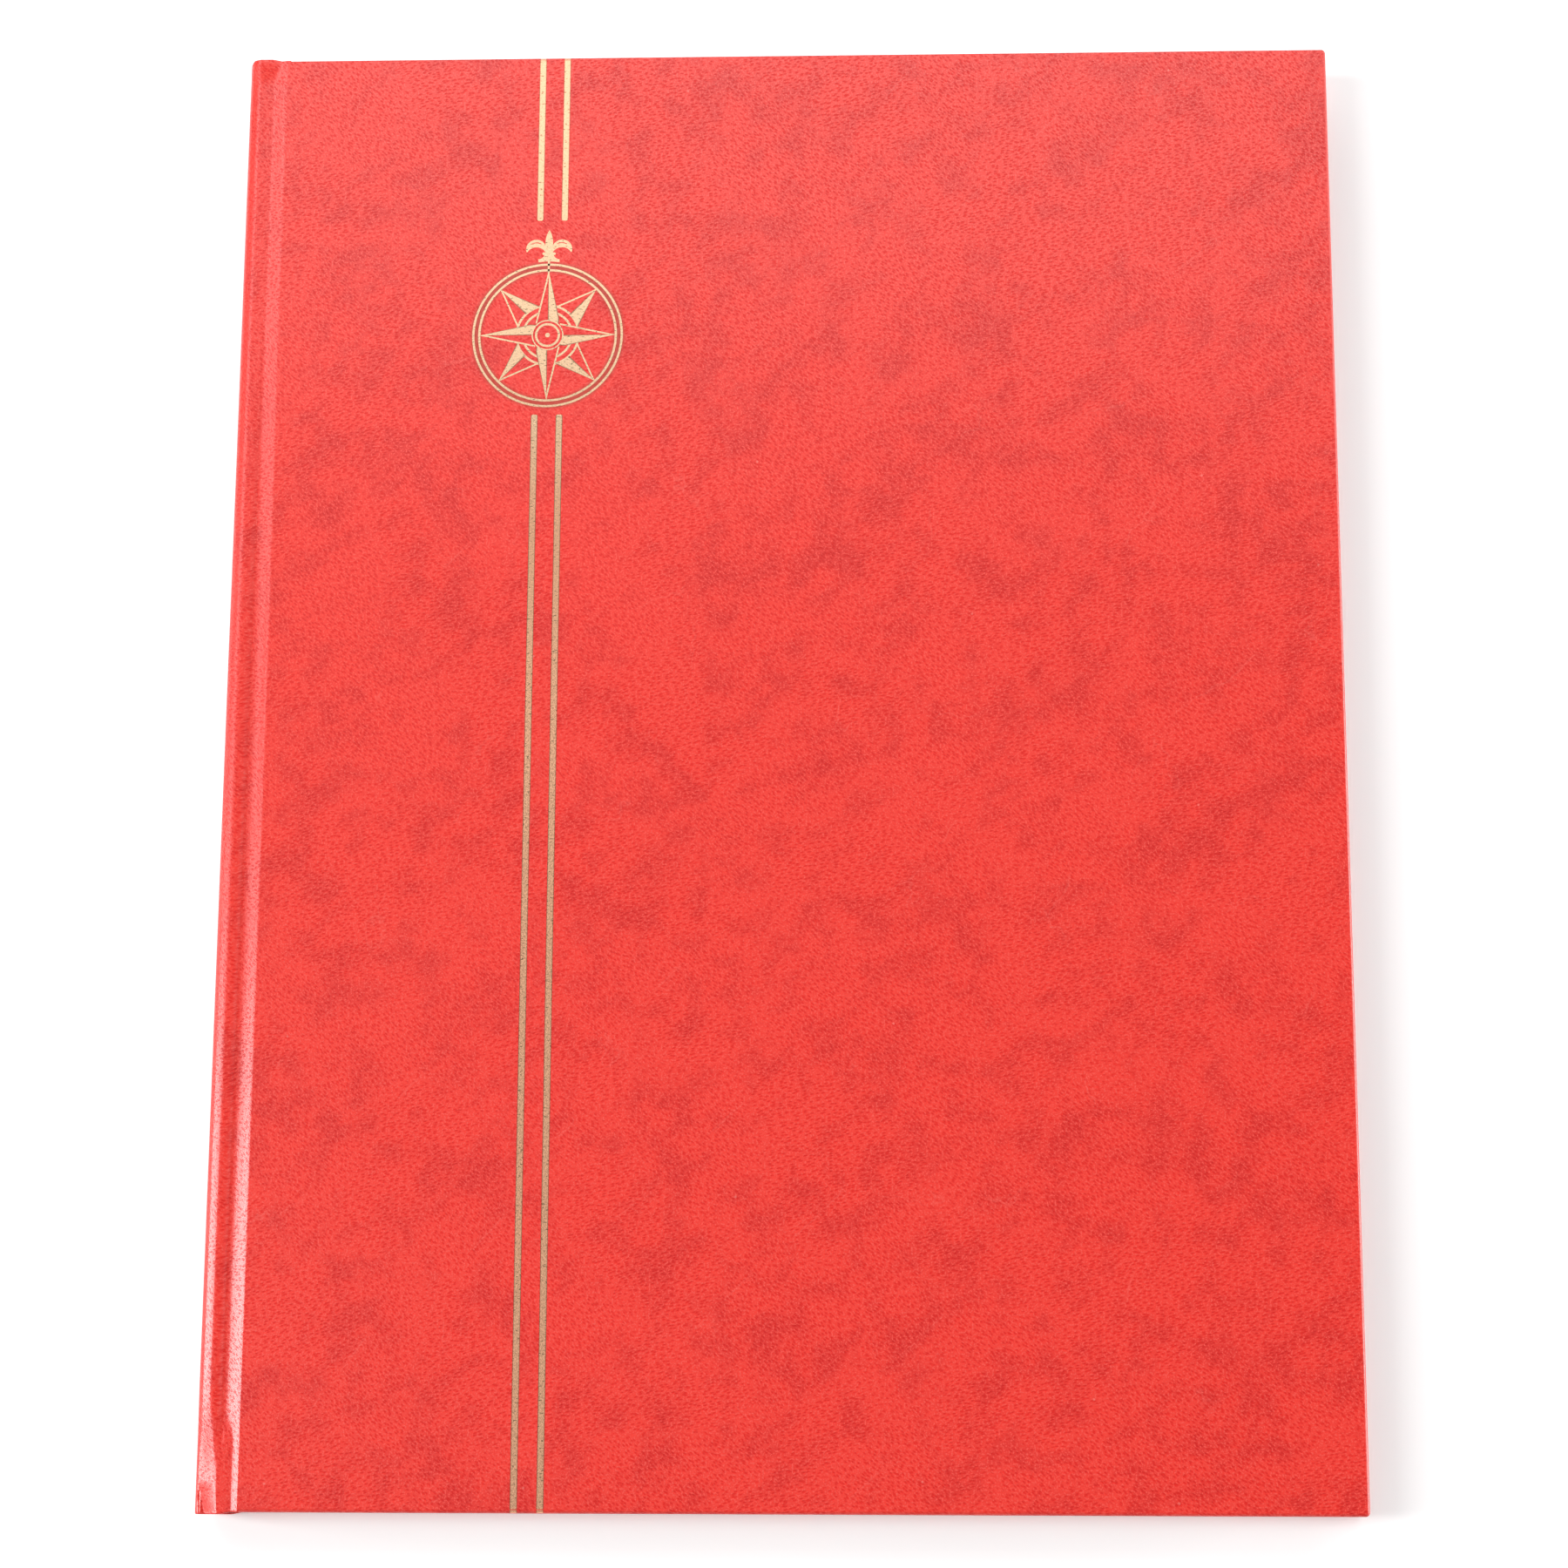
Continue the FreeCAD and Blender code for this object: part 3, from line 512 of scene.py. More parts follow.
# joints: leatherette over the spine's shoulder, through the pressed groove and up to the board
jointShape = {
    "shoulder": 3.0, "groovePlace": 5.5, "grooveDepth": 0.8, "rise": 2.0, "arcSteps": (30, 10, 10, 12),
    "fold": 0.3, "foldSteps": 9, "turnBack": 10.0, "turnBackSteps": 4, "lengthSteps": 140, "sheet": 0.28,
    "proudTo": 7.0, "proudFade": 2.0,
    # waves along the joint: length, start, change across the joint and share
    "waves": ((8.3, 0.0, 0, 0.5), (3.9, 1.1, 5, 0.3), (17.0, -0.6, 3, 0.7)),
    "waver": 0.06, "waverMiddle": 1.5,
    # corners of the lines over the head and tail ends: places from the spine's face and depths
    "headPlace": (0, 0.5, 2.2, 5.6, 8.1, 9), "headDepth": (3, 1.6, 0.6, 0.7, 0, 0),
    "tailPlace": (0, 0.4, 4.2, 7.8, 8.7, 9), "tailDepth": (3, 2.1, 0.3, 0.45, 0, 0),
    "endRound": 0.05, "endRoundSteps": 11, "headLength": 150.0, "headFade": 100.0,
    "tailChange": (3.5, 5.5), "tailLength": (25, 19), "tailFade": (21, 5),
    "headRound": 1.1, "headRoundFade": 0.8, "headReach": 5.0,
    "headLift": 0.45, "liftFrom": 1.0, "liftTo": 7.0, "liftFade": 1.5,
    "bruiseStart": 0.5, "bruiseWidth": 1.5, "bruiseLength": 5.8, "bruiseFade": 0.2, "bruiseDepth": 2.05,
    "bruiseSink": 0.1, "bruiseSlope": 0.13, "bruiseCrest": 2, "bruiseStretch": 0.5, "bruiseLimit": 6.0,
}


def jointLine():
    # four tangent arcs given by radius and by the tilt of their outward normal at both ends
    shoulder, rise, depth = jointShape["shoulder"], jointShape["rise"], jointShape["grooveDepth"]
    runDown = jointShape["groovePlace"] - shoulder
    runUp = boardLine - spineFace - jointShape["groovePlace"]
    hollowDown = (runDown ** 2 + depth ** 2) / (2 * depth) - shoulder
    hollowUp = (runUp ** 2 + depth ** 2) / (2 * depth) - rise
    tilts = (-math.pi / 2, 2 * math.atan2(depth, runDown), 0, -2 * math.atan2(depth, runUp), 0)
    steps = jointShape["arcSteps"]
    tilt = np.concatenate([np.linspace(*tilts[k:k + 2], steps[k] + 1)[min(k, 1):] for k in range(len(steps))])
    radius = np.repeat((shoulder, -hollowDown, -hollowUp, rise), steps)
    x = np.concatenate([[0.0], np.cumsum(radius * np.diff(np.sin(tilt)))])
    depths = shoulder + np.concatenate([[0.0], np.cumsum(-radius * np.diff(np.cos(tilt)))])
    return x, depths, np.sin(tilt), -np.cos(tilt)


def hairpin(end):
    # path along Y that doubles back inside at both ends: Y and depth below the outer face
    radius = jointShape["fold"]
    reach = end - radius
    turn = np.linspace(0, math.pi, jointShape["foldSteps"])[None, :]
    layIn = np.linspace(jointShape["turnBack"], 0, jointShape["turnBackSteps"])[None, :-1]
    sweep = np.linspace(-math.pi / 2, math.pi / 2, jointShape["lengthSteps"])[None, 1:-1]
    endY = np.concatenate([layIn - reach, -reach - radius * np.sin(turn)], axis=1)
    endDepth = np.concatenate([2 * radius + 0 * layIn, radius + radius * np.cos(turn)], axis=1)
    y = np.concatenate([endY, reach * np.sin(sweep), -endY[:, ::-1]], axis=1)
    depth = np.concatenate([endDepth, 0 * sweep, endDepth[:, ::-1]], axis=1)
    return y, depth + 0 * y


def smooth(share):
    # three times the share's square less twice its cube, between 0 and 1
    share = np.clip(share, 0, 1)
    return share ** 2 * (3 - 2 * share)


def endLine(x, depth, end):
    # broken line over an end of the joint, walked at the arc line's pace and averaged over a window
    pace = np.concatenate([[0.0], np.cumsum(np.hypot(np.diff(x), np.diff(depth)))])
    pace = (pace / pace[-1])[:, None]
    corners = np.array([jointShape[end + "Place"], jointShape[end + "Depth"]], dtype=float)
    walked = np.concatenate([[0.0], np.cumsum(np.hypot(*np.diff(corners, axis=1)))])
    window = np.minimum(np.minimum(pace, 1 - pace), jointShape["endRound"])
    window = window * np.linspace(-1, 1, jointShape["endRoundSteps"])
    return [np.interp(pace + window, walked / walked[-1], line).mean(1)[:, None] for line in corners]


def waverOf(y):
    # sum of sine waves along the joint, shifted to the inner side and fading out towards both its sides
    place = np.linspace(0, 1, len(y))[:, None]
    waver = sum(np.sin(y / length + start + change * place) * share
                for length, start, change, share in jointShape["waves"])
    return jointShape["waver"] * (jointShape["waverMiddle"] + waver) / 2 * np.sin(math.pi * place) ** 2


def bruiseOf(y, fromEnd, tailX, tailDepth):
    # depth added at the tail corner: a hollow that widens towards the end, then a steeper line to the crest
    shape = jointShape
    bruise = np.where(y < 0, np.clip(1 - fromEnd / shape["bruiseLength"], 0, 1), 0)
    kink = shape["bruiseStart"] + shape["bruiseWidth"] * bruise
    crest, crestDepth = [shape[key][shape["bruiseCrest"]] for key in ("tailPlace", "tailDepth")]
    run = np.clip((tailX - kink) / (crest + shape["bruiseStretch"] * bruise - kink), 0, 1)
    hollow = shape["bruiseSlope"] * np.maximum(kink - tailX, 0)
    flat = shape["bruiseDepth"] + shape["bruiseSink"] * bruise - hollow
    dent = np.maximum(flat * (1 - run) + crestDepth * run - tailDepth, 0)
    return np.where(tailX < shape["bruiseLimit"], dent * smooth(bruise / shape["bruiseFade"]), 0)


def jointSheet(level, inward):
    # point = arc line that changes to the end lines, moved in along its normal by the hairpin's depth and
    # a waver; the tail corner is sunk by the bruise, the head is lifted and its corner cut along a circle
    shape = jointShape
    line = jointLine()
    x, depth, normalX, normalDepth = [item[:, None] for item in line]
    (tailX, tailDepth), (headX, headDepth) = [endLine(*line[:2], end) for end in ("tail", "head")]
    proud = (spineEnd - halfHeight) * np.clip((shape["proudTo"] - x) / shape["proudFade"], 0, 1)
    y, inside = hairpin(halfHeight + proud)
    inside = inside + waverOf(y)
    fromEnd = halfHeight - np.abs(y)
    length, fade = [np.interp(x, shape["tailChange"], shape[key]) for key in ("tailLength", "tailFade")]
    nearTail = np.where(y < 0, smooth((length - fromEnd) / fade), 0)
    nearHead = np.where(y > 0, smooth((shape["headLength"] - fromEnd) / shape["headFade"]), 0)
    dent = bruiseOf(y, fromEnd, tailX, tailDepth)
    atHead = np.where(y > 0, smooth(1 - fromEnd / shape["headReach"]), 0)
    lift = shape["headLift"] * np.clip(headX / shape["liftFrom"], 0, 1)
    lift = lift * np.clip((shape["liftTo"] - headX) / shape["liftFade"], 0, 1)
    beside = np.clip(1 - headX / shape["headRound"], 0, 1)
    cut = shape["headRound"] * (1 - np.sqrt(1 - beside ** 2))
    y = y - cut * np.clip((depth[0] - headDepth) / shape["headRoundFade"], 0, 1) * atHead
    sheetX = spineFace + x + (tailX - x) * nearTail + (headX - x) * nearHead - normalX * inside
    sheetDepth = (depth + (tailDepth - depth) * nearTail + (headDepth - depth) * nearHead
                  + dent - lift * atHead - normalDepth * inside)
    return np.stack([sheetX, y, level + inward * sheetDepth], axis=2)


def makeJoint(name, node, level, inward):
    sheet = facing(jointSheet(level, inward), (0, 0, -inward))
    piece = buildPiece(name, [sheet], leatherette)
    thicken(piece, jointShape["sheet"])
    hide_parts(node)
    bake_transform(piece)


makeJoint("frontJoint", "front_joint_skin", topFace, -1)
makeJoint("rearJoint", "rear_joint_skin", 0.0, 1)

# spine: the sheet over the flat of the spine, turned in over the spine board at head and tail
spineShape = {
    "endRadius": 0.6, "turnIn": 15.0, "sheet": 0.28, "tuck": 0.5, "rimSteps": 8, "turnInSteps": 4,
    "lengthSteps": 60, "acrossSteps": 12,
}


def makeSpine():
    # point = end profile (rounded edges and end wall) carried up the spine, its fold under the shoulders
    radius, tuck = spineShape["endRadius"], spineShape["tuck"]
    quarter = np.linspace(0, math.pi / 2, spineShape["rimSteps"])
    layIn = np.linspace(spineShape["turnIn"], radius, spineShape["turnInSteps"])[:-1]
    innerEnd = np.concatenate([layIn, radius - radius * np.sin(quarter)])
    innerDepth = np.concatenate([spineDepth + 0 * layIn, spineDepth - radius + radius * np.cos(quarter)])
    rimEnd, rimDepth = radius - radius * np.cos(quarter), radius - radius * np.sin(quarter)
    fromEnd = np.concatenate([innerEnd, rimEnd])
    depth = np.concatenate([innerDepth, rimDepth])
    straight = np.linspace(-(spineEnd - radius), spineEnd - radius, spineShape["lengthSteps"])[1:-1]
    y = np.concatenate([fromEnd - spineEnd, straight, (spineEnd - fromEnd)[::-1]])
    deepness = np.concatenate([depth, 0 * straight, depth[::-1]])

    def across(share, deeps):
        return topFace / 2 + share * (topFace / 2 - jointShape["shoulder"] + np.minimum(deeps, tuck))

    z = across(np.linspace(-1, 1, spineShape["acrossSteps"])[:, None], deepness)
    grids = [facing(np.stack([spineFace + deepness + 0 * z, y + 0 * z, z], axis=2), (-1, 0, 0))]
    # caps over the folded ends: straight lines from the turned-in layer to the face
    layers = ((innerDepth, innerEnd),
              (np.concatenate([0 * layIn, rimDepth[::-1]]), np.concatenate([layIn, rimEnd[::-1]])))
    for share in (-1, 1):
        for side in (-1, 1):
            edges = [np.stack([spineFace + deeps, side * (spineEnd - ends), across(share, deeps)], axis=1)
                     for deeps, ends in layers]
            grids.append(facing(np.stack(edges), (0, 0, share)))
    piece = buildPiece("spineCover", grids, leatherette)
    thicken(piece, spineShape["sheet"])
    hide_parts("spine_skin")
    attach(piece, "spine")


makeSpine()
print("joints and spine covered")

# foil ornament, in millimetres from its middle line and from the head edge
foilShape = {
    "fromSpine": 65.6, "ruleWidth": 1.42, "ruleSpacing": 5.2, "ruleRound": 0.4, "edgeGap": 0.12,
    "upperEnd": 37.1, "lowerStart": 80.1, "upperShift": 0.42, "lowerTurn": 0.26, "roseShift": -0.17,
    "roseFromHead": 62.6, "radius": 15.9, "ringStep": 1.24, "line": 0.5, "pointLine": 0.36,
    "middleRadius": 6.8, "middleStep": 1.4, "hubRadius": 3.35, "hubLine": 0.27, "hubStep": 0.7, "dot": 0.5,
    "mainWidth": 5.2, "sideWidth": 6.6, "film": 0.05, "layer": 0.003, "thinEdge": 0.88,
    "lineSteps": 8, "arcSteps": 14, "ringSteps": 145, "brokenSteps": 30, "pointSteps": 12,
    "ruleSteps": 60, "ruleEndSteps": 7, "thinRows": 3, "ruleRows": 5, "pointRows": 9,
}
# layer of each part of the ornament, so that no two lie in one plane where they cross
foilLayer = {"ring": 1, "side": 2, "main": 3, "hub": 4, "stem": 1, "petal": 2, "band": 3}
# the lily's drawing: places across (1 at half the width) and up (1 at the height)
lilyShape = {
    "width": 9.9, "height": 7.2, "lift": 0.3, "stem": (0.045, 0.1), "footMiddle": ((0, 0.025), (0, 0.225)),
    "footLow": ((0.045, 0.025), (0.25, 0.015), (0.45, 0.0)),
    "footHigh": ((0.2, 0.225), (0.27, 0.145), (0.46, 0.095)),
    "band": ((0.25, 0.225), (0.29, 0.265), (0.25, 0.305)),
    "petalFoot": ((0.15, 0.305), (0.16, 0.52)), "petalTip": ((0.16, 0.52), (0.16, 0.66), (0.0, 1.0)),
    "under": ((0.15, 0.305), (0.55, 0.465), (0.93, 0.32)), "over": ((0.16, 0.52), (0.68, 0.69), (0.97, 0.32)),
    "slit": (0.55, 0.66), "slitFrom": 4, "slitTo": 8,
}
foilMiddle = spineFace + foilShape["fromSpine"]
roseMiddle = halfHeight - foilShape["roseFromHead"]


def between(one, two, layer=1, rows=2):
    # ruled surface: straight lines from the points of one edge to those of the other, at a foil layer
    share = np.linspace(0, 1, rows)[:, None, None]
    flat = one[None] * (1 - share) + two[None] * share
    level = topFace + layer * foilShape["layer"]
    return np.concatenate([flat, np.full(flat.shape[:2] + (1,), level)], axis=2)


def lineOf(start, end, steps=foilShape["lineSteps"]):
    # evenly spaced points on the straight line from start to end
    share = np.linspace(0, 1, steps)[:, None]
    return np.array(start) * (1 - share) + np.array(end) * share


def arcOf(start, through, end):
    # circle through three points, walked from the first to the last by way of the middle one
    ax, ay, bx, by = *(np.array(through) - start), *(np.array(end) - start)
    area = 2 * (ax * by - ay * bx)
    centre = np.array([by * (ax * ax + ay * ay) - ay * (bx * bx + by * by),
                       ax * (bx * bx + by * by) - bx * (ax * ax + ay * ay)]) / area
    first = math.atan2(-centre[1], -centre[0])
    swing = math.atan2(by - centre[1], bx - centre[0]) - first
    swing = swing % (2 * math.pi) if area > 0 else -((-swing) % (2 * math.pi))
    angle = first + np.linspace(0, 1, foilShape["arcSteps"]) * swing
    return np.stack([np.cos(angle), np.sin(angle)], axis=1) * math.hypot(*centre) + centre + start


def clockPoints(angle, radius):
    # points on a circle, with angles measured clockwise from the north point
    return np.stack([np.sin(angle), np.cos(angle)], axis=1) * radius


def turned(grid, angle):
    # grid turned clockwise about the rose's middle
    c, s = math.cos(angle), math.sin(angle)
    x, y, z = grid[..., 0], grid[..., 1], grid[..., 2]
    return np.stack([x * c + y * s, y * c - x * s, z], axis=2)


def mirrored(grid):
    # grid with its places across changed in sign
    return grid * np.array([-1.0, 1.0, 1.0])


def ringOf(outer, inner, part="ring"):
    # flat ring: ruled surface between two circles about the rose's middle
    angle = np.linspace(0, 2 * math.pi, foilShape["ringSteps"])
    circle = np.stack([np.cos(angle), np.sin(angle)], axis=1)
    return between(circle * outer, circle * inner, foilLayer[part], foilShape["thinRows"])


def splitPoint(tip, base, half, ring, part):
    # star point on a ring: one half filled from the ring's curve to the side line, the other an open line
    slope = half / (tip - base)
    shift = foilShape["pointLine"] * math.sqrt(1 + slope ** 2)
    layer, rows, steps = foilLayer[part], foilShape["pointRows"], foilShape["pointSteps"]
    filled = between(lineOf((0, ring), (0, tip), steps), lineOf((half, base), (0, tip), steps), layer, rows)
    filled[:, 0, :2] = clockPoints(np.linspace(0, math.atan2(half, base), rows), ring)
    inside = lineOf((shift - half, base), (0, tip - shift / slope))
    edge = between(lineOf((-half, base), (0, tip)), inside, layer, foilShape["thinRows"])
    return [filled, edge]


def brokenRing(outer, inner, tip, base, half):
    # quarter of a ring between two main points: each end lies on the side line of a point
    length = math.hypot(half, tip - base)
    lean = math.atan2(half, tip - base)  # direction of the side line's normal
    away = tip * half / length
    share = np.linspace(0, 1, foilShape["brokenSteps"])
    edges = []
    for radius in (outer, inner):
        first = math.pi / 2 - (lean + math.acos(away / radius))  # measured from the point's own axis
        edges.append(clockPoints(first + (math.pi / 2 - 2 * first) * share, radius))
    quarter = between(*edges, foilLayer["ring"], foilShape["thinRows"])
    return [turned(quarter, k * math.pi / 2) for k in range(4)]


def lilyGrids(tip):
    # lily over the north point: stem, foot, band, middle petal and slit side petals between their edges
    size = np.array([lilyShape["width"] / 2, lilyShape["height"]])
    lift = np.array([0, foilShape["radius"] + lilyShape["lift"]])

    def drawn(key):
        # line through two places of the drawing, or circle through three
        points = [np.array(point) * size + lift for point in lilyShape[key]]
        return lineOf(*points) if len(points) == 2 else arcOf(*points)

    stemX, stemTop = np.array(lilyShape["stem"]) * size + lift
    stemSide = lineOf((stemX, tip - foilShape["line"]), (stemX, stemTop))
    petalSide = np.concatenate([drawn("petalFoot"), drawn("petalTip")])
    low, high, under, over = [drawn(key) for key in ("footLow", "footHigh", "under", "over")]
    lower, upper = [under * (1 - share) + over * share for share in lilyShape["slit"]]
    first, last, petal = lilyShape["slitFrom"], lilyShape["slitTo"], foilLayer["petal"]
    sides = ((low, high), (drawn("footMiddle"), lineOf(low[0], high[0])), (under, lower), (upper, over),
             (lower[:first], upper[:first]), (lower[last:], upper[last:]))
    halves = [between(*edges, petal) for edges in sides]
    flip = np.array([-1.0, 1.0])
    wholes = ((stemSide, "stem"), (drawn("band"), "band"), (petalSide, "petal"))
    whole = [between(side * flip, side, foilLayer[part]) for side, part in wholes]
    return whole + halves + [mirrored(grid) for grid in halves]


def makeRules():
    # strips from the rose to the rim: half width less a quarter circle at the inner end, sunk at the rim
    radius, edge, gap = foilShape["ruleRound"], coverShape["edgeRadius"], foilShape["edgeGap"]
    ease = np.linspace(0, 1, foilShape["ruleEndSteps"])
    grids = []
    for way, start in ((1, foilShape["upperEnd"]), (-1, foilShape["lowerStart"])):
        inner, outer = way * (halfHeight - start), halfHeight - gap
        length = outer - inner
        middleRun = np.linspace(radius, length - edge, foilShape["ruleSteps"])[1:]
        run = np.concatenate([radius * ease ** 2, middleRun, length - edge * ease[-2::-1] ** 2])
        half = foilShape["ruleWidth"] / 2 - radius + np.sqrt(radius ** 2 - np.maximum(radius - run, 0) ** 2)
        shift = foilShape["upperShift"] if way > 0 else foilShape["lowerTurn"] * (run / length) ** 2
        sink = edge - np.sqrt(edge ** 2 - np.maximum(run - length - gap + edge, 0) ** 2)
        for side in (-1, 1):
            middle = foilMiddle + shift + side * foilShape["ruleSpacing"] / 2
            edges = [np.stack([middle + turn * half, way * (inner + run)], axis=1) for turn in (-1, 1)]
            strip = between(*edges, rows=foilShape["ruleRows"])
            grids.append(strip - np.stack([0 * run, 0 * run, sink], axis=1))
    return grids


def makeRose():
    # rings, broken rings, star points turned by quarters, the hub and the lily, moved into place
    line, radius, hub = foilShape["line"], foilShape["radius"], foilShape["hubRadius"]
    second = radius - foilShape["ringStep"]
    tip = second - line / 2
    half = foilShape["mainWidth"] / 2  # main points meet their neighbours on the diagonals
    middle, inner = foilShape["middleRadius"], foilShape["middleRadius"] - foilShape["middleStep"]
    sideHalf = foilShape["sideWidth"] / 2
    sideBase = math.sqrt((middle - line / 2) ** 2 - sideHalf ** 2)
    grids = [ringOf(radius, radius - line), ringOf(second, second - line)]
    for outer in (middle, inner):
        grids += brokenRing(outer, outer - line, tip, half, half)
    main = splitPoint(tip, half, half, hub - foilShape["hubLine"] / 2, "main")
    side = splitPoint(tip, sideBase, sideHalf, middle - line / 2, "side")
    for k in range(4):
        grids += [turned(grid, k * math.pi / 2) for grid in main]
        grids += [turned(grid, k * math.pi / 2 + math.pi / 4) for grid in side]
    hubSecond = hub - foilShape["hubStep"]
    hubRings = ((hub, hub - foilShape["hubLine"]), (hubSecond, hubSecond - line), (foilShape["dot"], 0.0))
    grids += [ringOf(*radii, "hub") for radii in hubRings]
    grids += lilyGrids(tip)
    return [grid + np.array([foilMiddle + foilShape["roseShift"], roseMiddle, 0.0]) for grid in grids]


def edgeOf(grid):
    # share of painted edge shade: distance from the middle row, 1 on the outer rows; nothing for two rows and
    # less than 1 for three
    rows, columns = grid.shape[:2]
    strength = np.interp(rows, (2, 3, 4), (0, foilShape["thinEdge"], 1))
    return np.repeat(np.abs(np.linspace(-1, 1, rows)), columns) * strength


def makeFoil(name, node, grids):
    edge = np.concatenate([edgeOf(grid) for grid in grids])
    piece = buildPiece(name, [facing(grid, (0, 0, 1)) for grid in grids], goldFoil, edge)
    thicken(piece, foilShape["film"])
    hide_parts(node)
    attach(piece, "front_cover")


def shadeBesideRings():
    # painted shade on the leather beside the two outer rings: its share falls with the distance from the
    # middle of the two rings
    tree = leatherette.node_tree
    socket = tree.nodes["Principled BSDF"].inputs["Base Color"]
    flatten = leatherLook["stampFlatten"]  # heights count more, so that only the front face gets the painted shade
    place = (-foilMiddle - foilShape["roseShift"], -roseMiddle, -topFace * flatten)
    inputs = {"Vector": addNode(tree, "TexCoord").outputs["Object"], "Location": place,
              "Scale": (1 / mm, 1 / mm, flatten / mm)}
    fromRose = lengthOf(tree, addNode(tree, "Mapping", inputs).outputs[0])
    ringMiddle = foilShape["radius"] - (foilShape["ringStep"] + foilShape["line"]) / 2
    away = awayFrom(tree, fromRose, ringMiddle)
    share = remap(tree, away, *leatherLook["stampRange"], leatherLook["stampTint"], 0.0)
    tree.links.new(blendColour(tree, share, socket.links[0].from_socket, leatherLook["stamped"]), socket)


shadeBesideRings()
makeFoil("goldRules", "gold_rules", makeRules())
makeFoil("compassRose", "compass_rose", makeRose())
print("foil pressed")

# carried-over nodes take a finish by the start of their names
nodeFinish = {
    "front_board": greyboard, "back_board": greyboard, "spine_board": leatherette,
    "front_pastedown": endpaper, "back_pastedown": endpaper, "spine_lining": linen,
    "leaf": blackCard, "linen_hinge": linen, "interleaf": glassine,
    "recto_strips": clearFilm, "verso_strips": clearFilm,
}
for nodeName, nodeObject in cadNodes.items():
    for start, finish in nodeFinish.items():
        if nodeName.startswith(start):
            nodeObject.data.materials.clear()
            nodeObject.data.materials.append(finish)
print("inside finished")

# floor, light and camera
studio = {
    "floorColour": (0.95, 0.95, 0.95, 1), "floorShade": (0.98, 0.98, 0.98, 1), "floorSize": 4.0,
    "floorDrop": 0.05, "floorNoise": (0.02, 3), "floorRough": 0.8, "floorSpecular": 0.1,
    "floorGlow": 0.25, "farGlow": 1.0, "glowRange": (600.0, 1600.0),
    "cameraPlace": (0.026267, -0.153743, 0.697189), "cameraTurn": (12.1456, 2.0988, 0.2464),
    "lens": 78.697, "sensor": 36.0,
    "ambient": 0.275, "horizon": 1.0, "mirroredHorizon": 0.5, "middle": 0.74, "middleRange": (0.3, 0.6),
    "overhead": 0.48, "overheadRange": (0.6, 0.9),
    "wallWay": (-0.58, 0.46, 0.67), "wallGlow": 1.9, "wallRange": (0.935, 0.985),
}
lampList = [
    # name, place, aim, width, height, radiance
    ("headPanel", (0.0, 1.55, 1.5), (0.0, 0.0, 0.0), 3.0, 2.0, 1.34),
    ("sidePanel", (-2.1, -0.05, 1.8), (0.0, -0.05, 1.1), 0.6, 3.4, 11.5),
    ("forePanel", (2.1, -0.1, 0.42), (0.0, -0.1, 0.05), 1.5, 0.75, 8.5),
]


def seenRays(tree):
    # direct: 1 for what the camera sees as it is or through film; seen: also for what it sees mirrored
    path = addNode(tree, "LightPath")
    direct = calc(tree, "MAXIMUM", path.outputs["Is Camera Ray"], path.outputs["Is Transmission Ray"])
    return direct, calc(tree, "MAXIMUM", direct, path.outputs["Is Glossy Ray"])


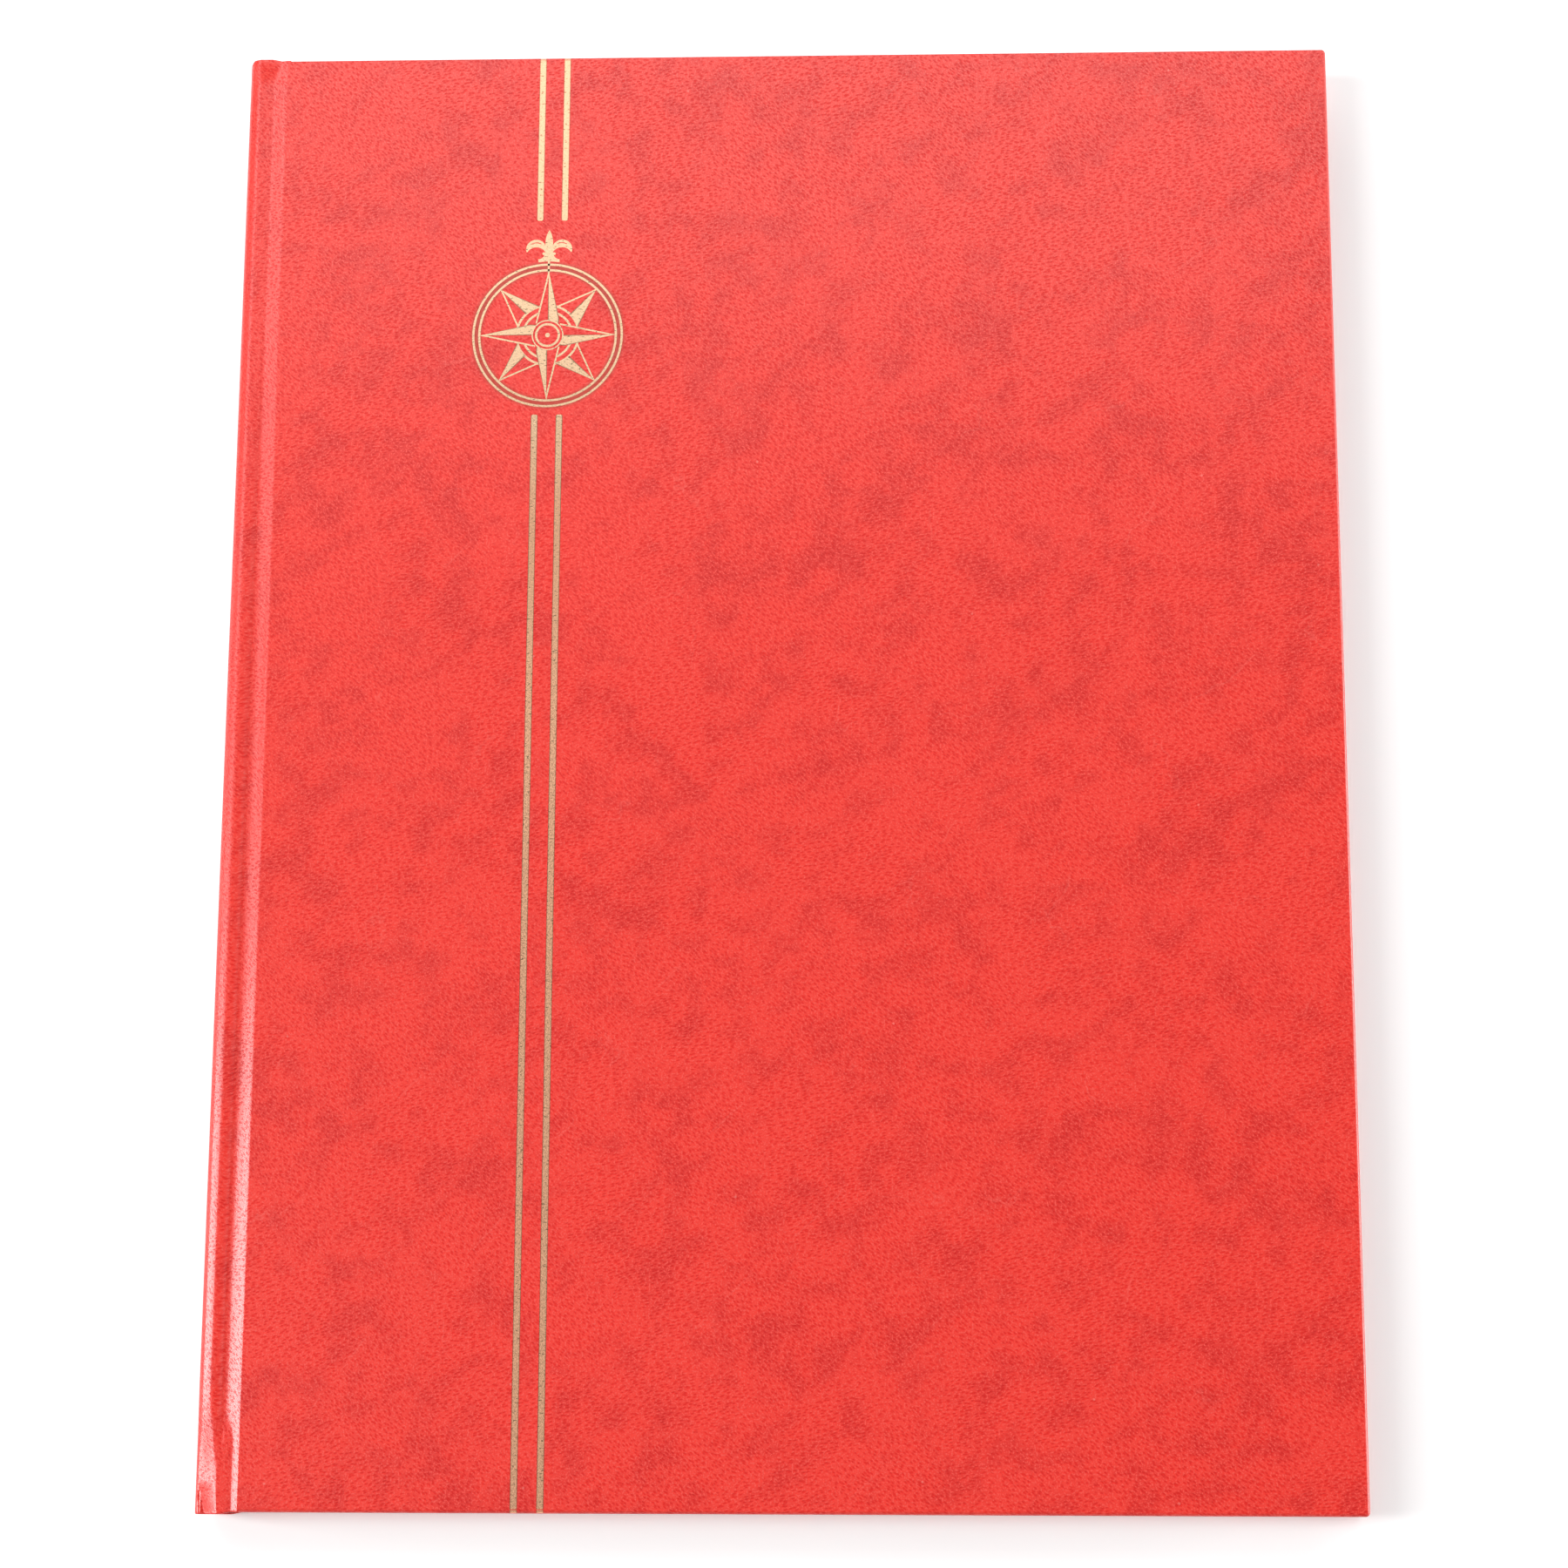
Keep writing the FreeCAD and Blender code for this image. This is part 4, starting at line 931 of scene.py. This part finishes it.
def makeFloor():
    # flat square just under the object, whose glow for seen rays grows with the distance from the middle
    half, level = studio["floorSize"] / 2, -studio["floorDrop"] * mm
    corners = [(-half, -half, level), (half, -half, level), (-half, half, level), (half, half, level)]
    material, tree, shader, inMm = newMaterial("floor")
    paper = noise(tree, inMm, *studio["floorNoise"])
    away = lengthOf(tree, inMm)
    glow = remap(tree, away, *studio["glowRange"], studio["floorGlow"], studio["farGlow"])
    setShader(tree, shader, BaseColor=blendColour(tree, paper, studio["floorColour"], studio["floorShade"]),
              Roughness=studio["floorRough"], SpecularIORLevel=studio["floorSpecular"],
              EmissionColor=(1, 1, 1, 1), EmissionStrength=calc(tree, "MULTIPLY", seenRays(tree)[1], glow))
    mesh = bpy.data.meshes.new("floor")
    mesh.from_pydata(corners, [], gridFaces(2, 2, 0).tolist())
    mesh.materials.append(material)
    floor = bpy.data.objects.new("floor", mesh)
    scene.collection.objects.link(floor)


def makeWorld():
    # soft room: white round the horizon, dimmer where mirrored, darker overhead, with a bright patch of wall
    # to the left of the head; what isn't seen only lights the object with the ambient strength
    world = bpy.data.worlds.new("room")
    world.use_nodes = True
    tree = world.node_tree
    towards = addNode(tree, "TexCoord").outputs["Generated"]
    height = addNode(tree, "SeparateXYZ", {0: towards}).outputs[2]
    direct, seen = seenRays(tree)
    horizon = mixed(tree, direct, studio["mirroredHorizon"], studio["horizon"])
    middle = remap(tree, height, *studio["middleRange"], horizon, studio["middle"])
    overhead = remap(tree, height, *studio["overheadRange"], 0.0, studio["overhead"] - studio["middle"])
    wall = remap(tree, dot(tree, towards, studio["wallWay"]), *studio["wallRange"], 0.0, studio["wallGlow"])
    shown = calc(tree, "ADD", calc(tree, "ADD", middle, overhead), wall)
    background = tree.nodes["Background"]
    tree.links.new(mixed(tree, seen, studio["ambient"], shown), background.inputs["Strength"])
    background.inputs["Color"].default_value = (1, 1, 1, 1)
    scene.world = world


def makeLamps():
    for name, place, aim, width, height, radiance in lampList:
        lamp = bpy.data.lights.new(name, "AREA")
        lamp.shape = "RECTANGLE"
        lamp.size, lamp.size_y = width, height
        lamp.energy = radiance * math.pi * width * height
        holder = bpy.data.objects.new(name, lamp)
        holder.location = place
        holder.rotation_euler = (Vector(aim) - Vector(place)).to_track_quat("-Z", "Y").to_euler()
        holder.visible_camera = False
        scene.collection.objects.link(holder)


def makeCamera():
    lens = bpy.data.cameras.new("camera")
    lens.sensor_width, lens.lens = studio["sensor"], studio["lens"]
    holder = bpy.data.objects.new("camera", lens)
    holder.location = studio["cameraPlace"]
    holder.rotation_euler = [math.radians(angle) for angle in studio["cameraTurn"]]
    scene.collection.objects.link(holder)
    scene.camera = holder


makeFloor()
makeWorld()
makeLamps()
makeCamera()
scene.view_settings.view_transform = "Standard"
print("stage lit")
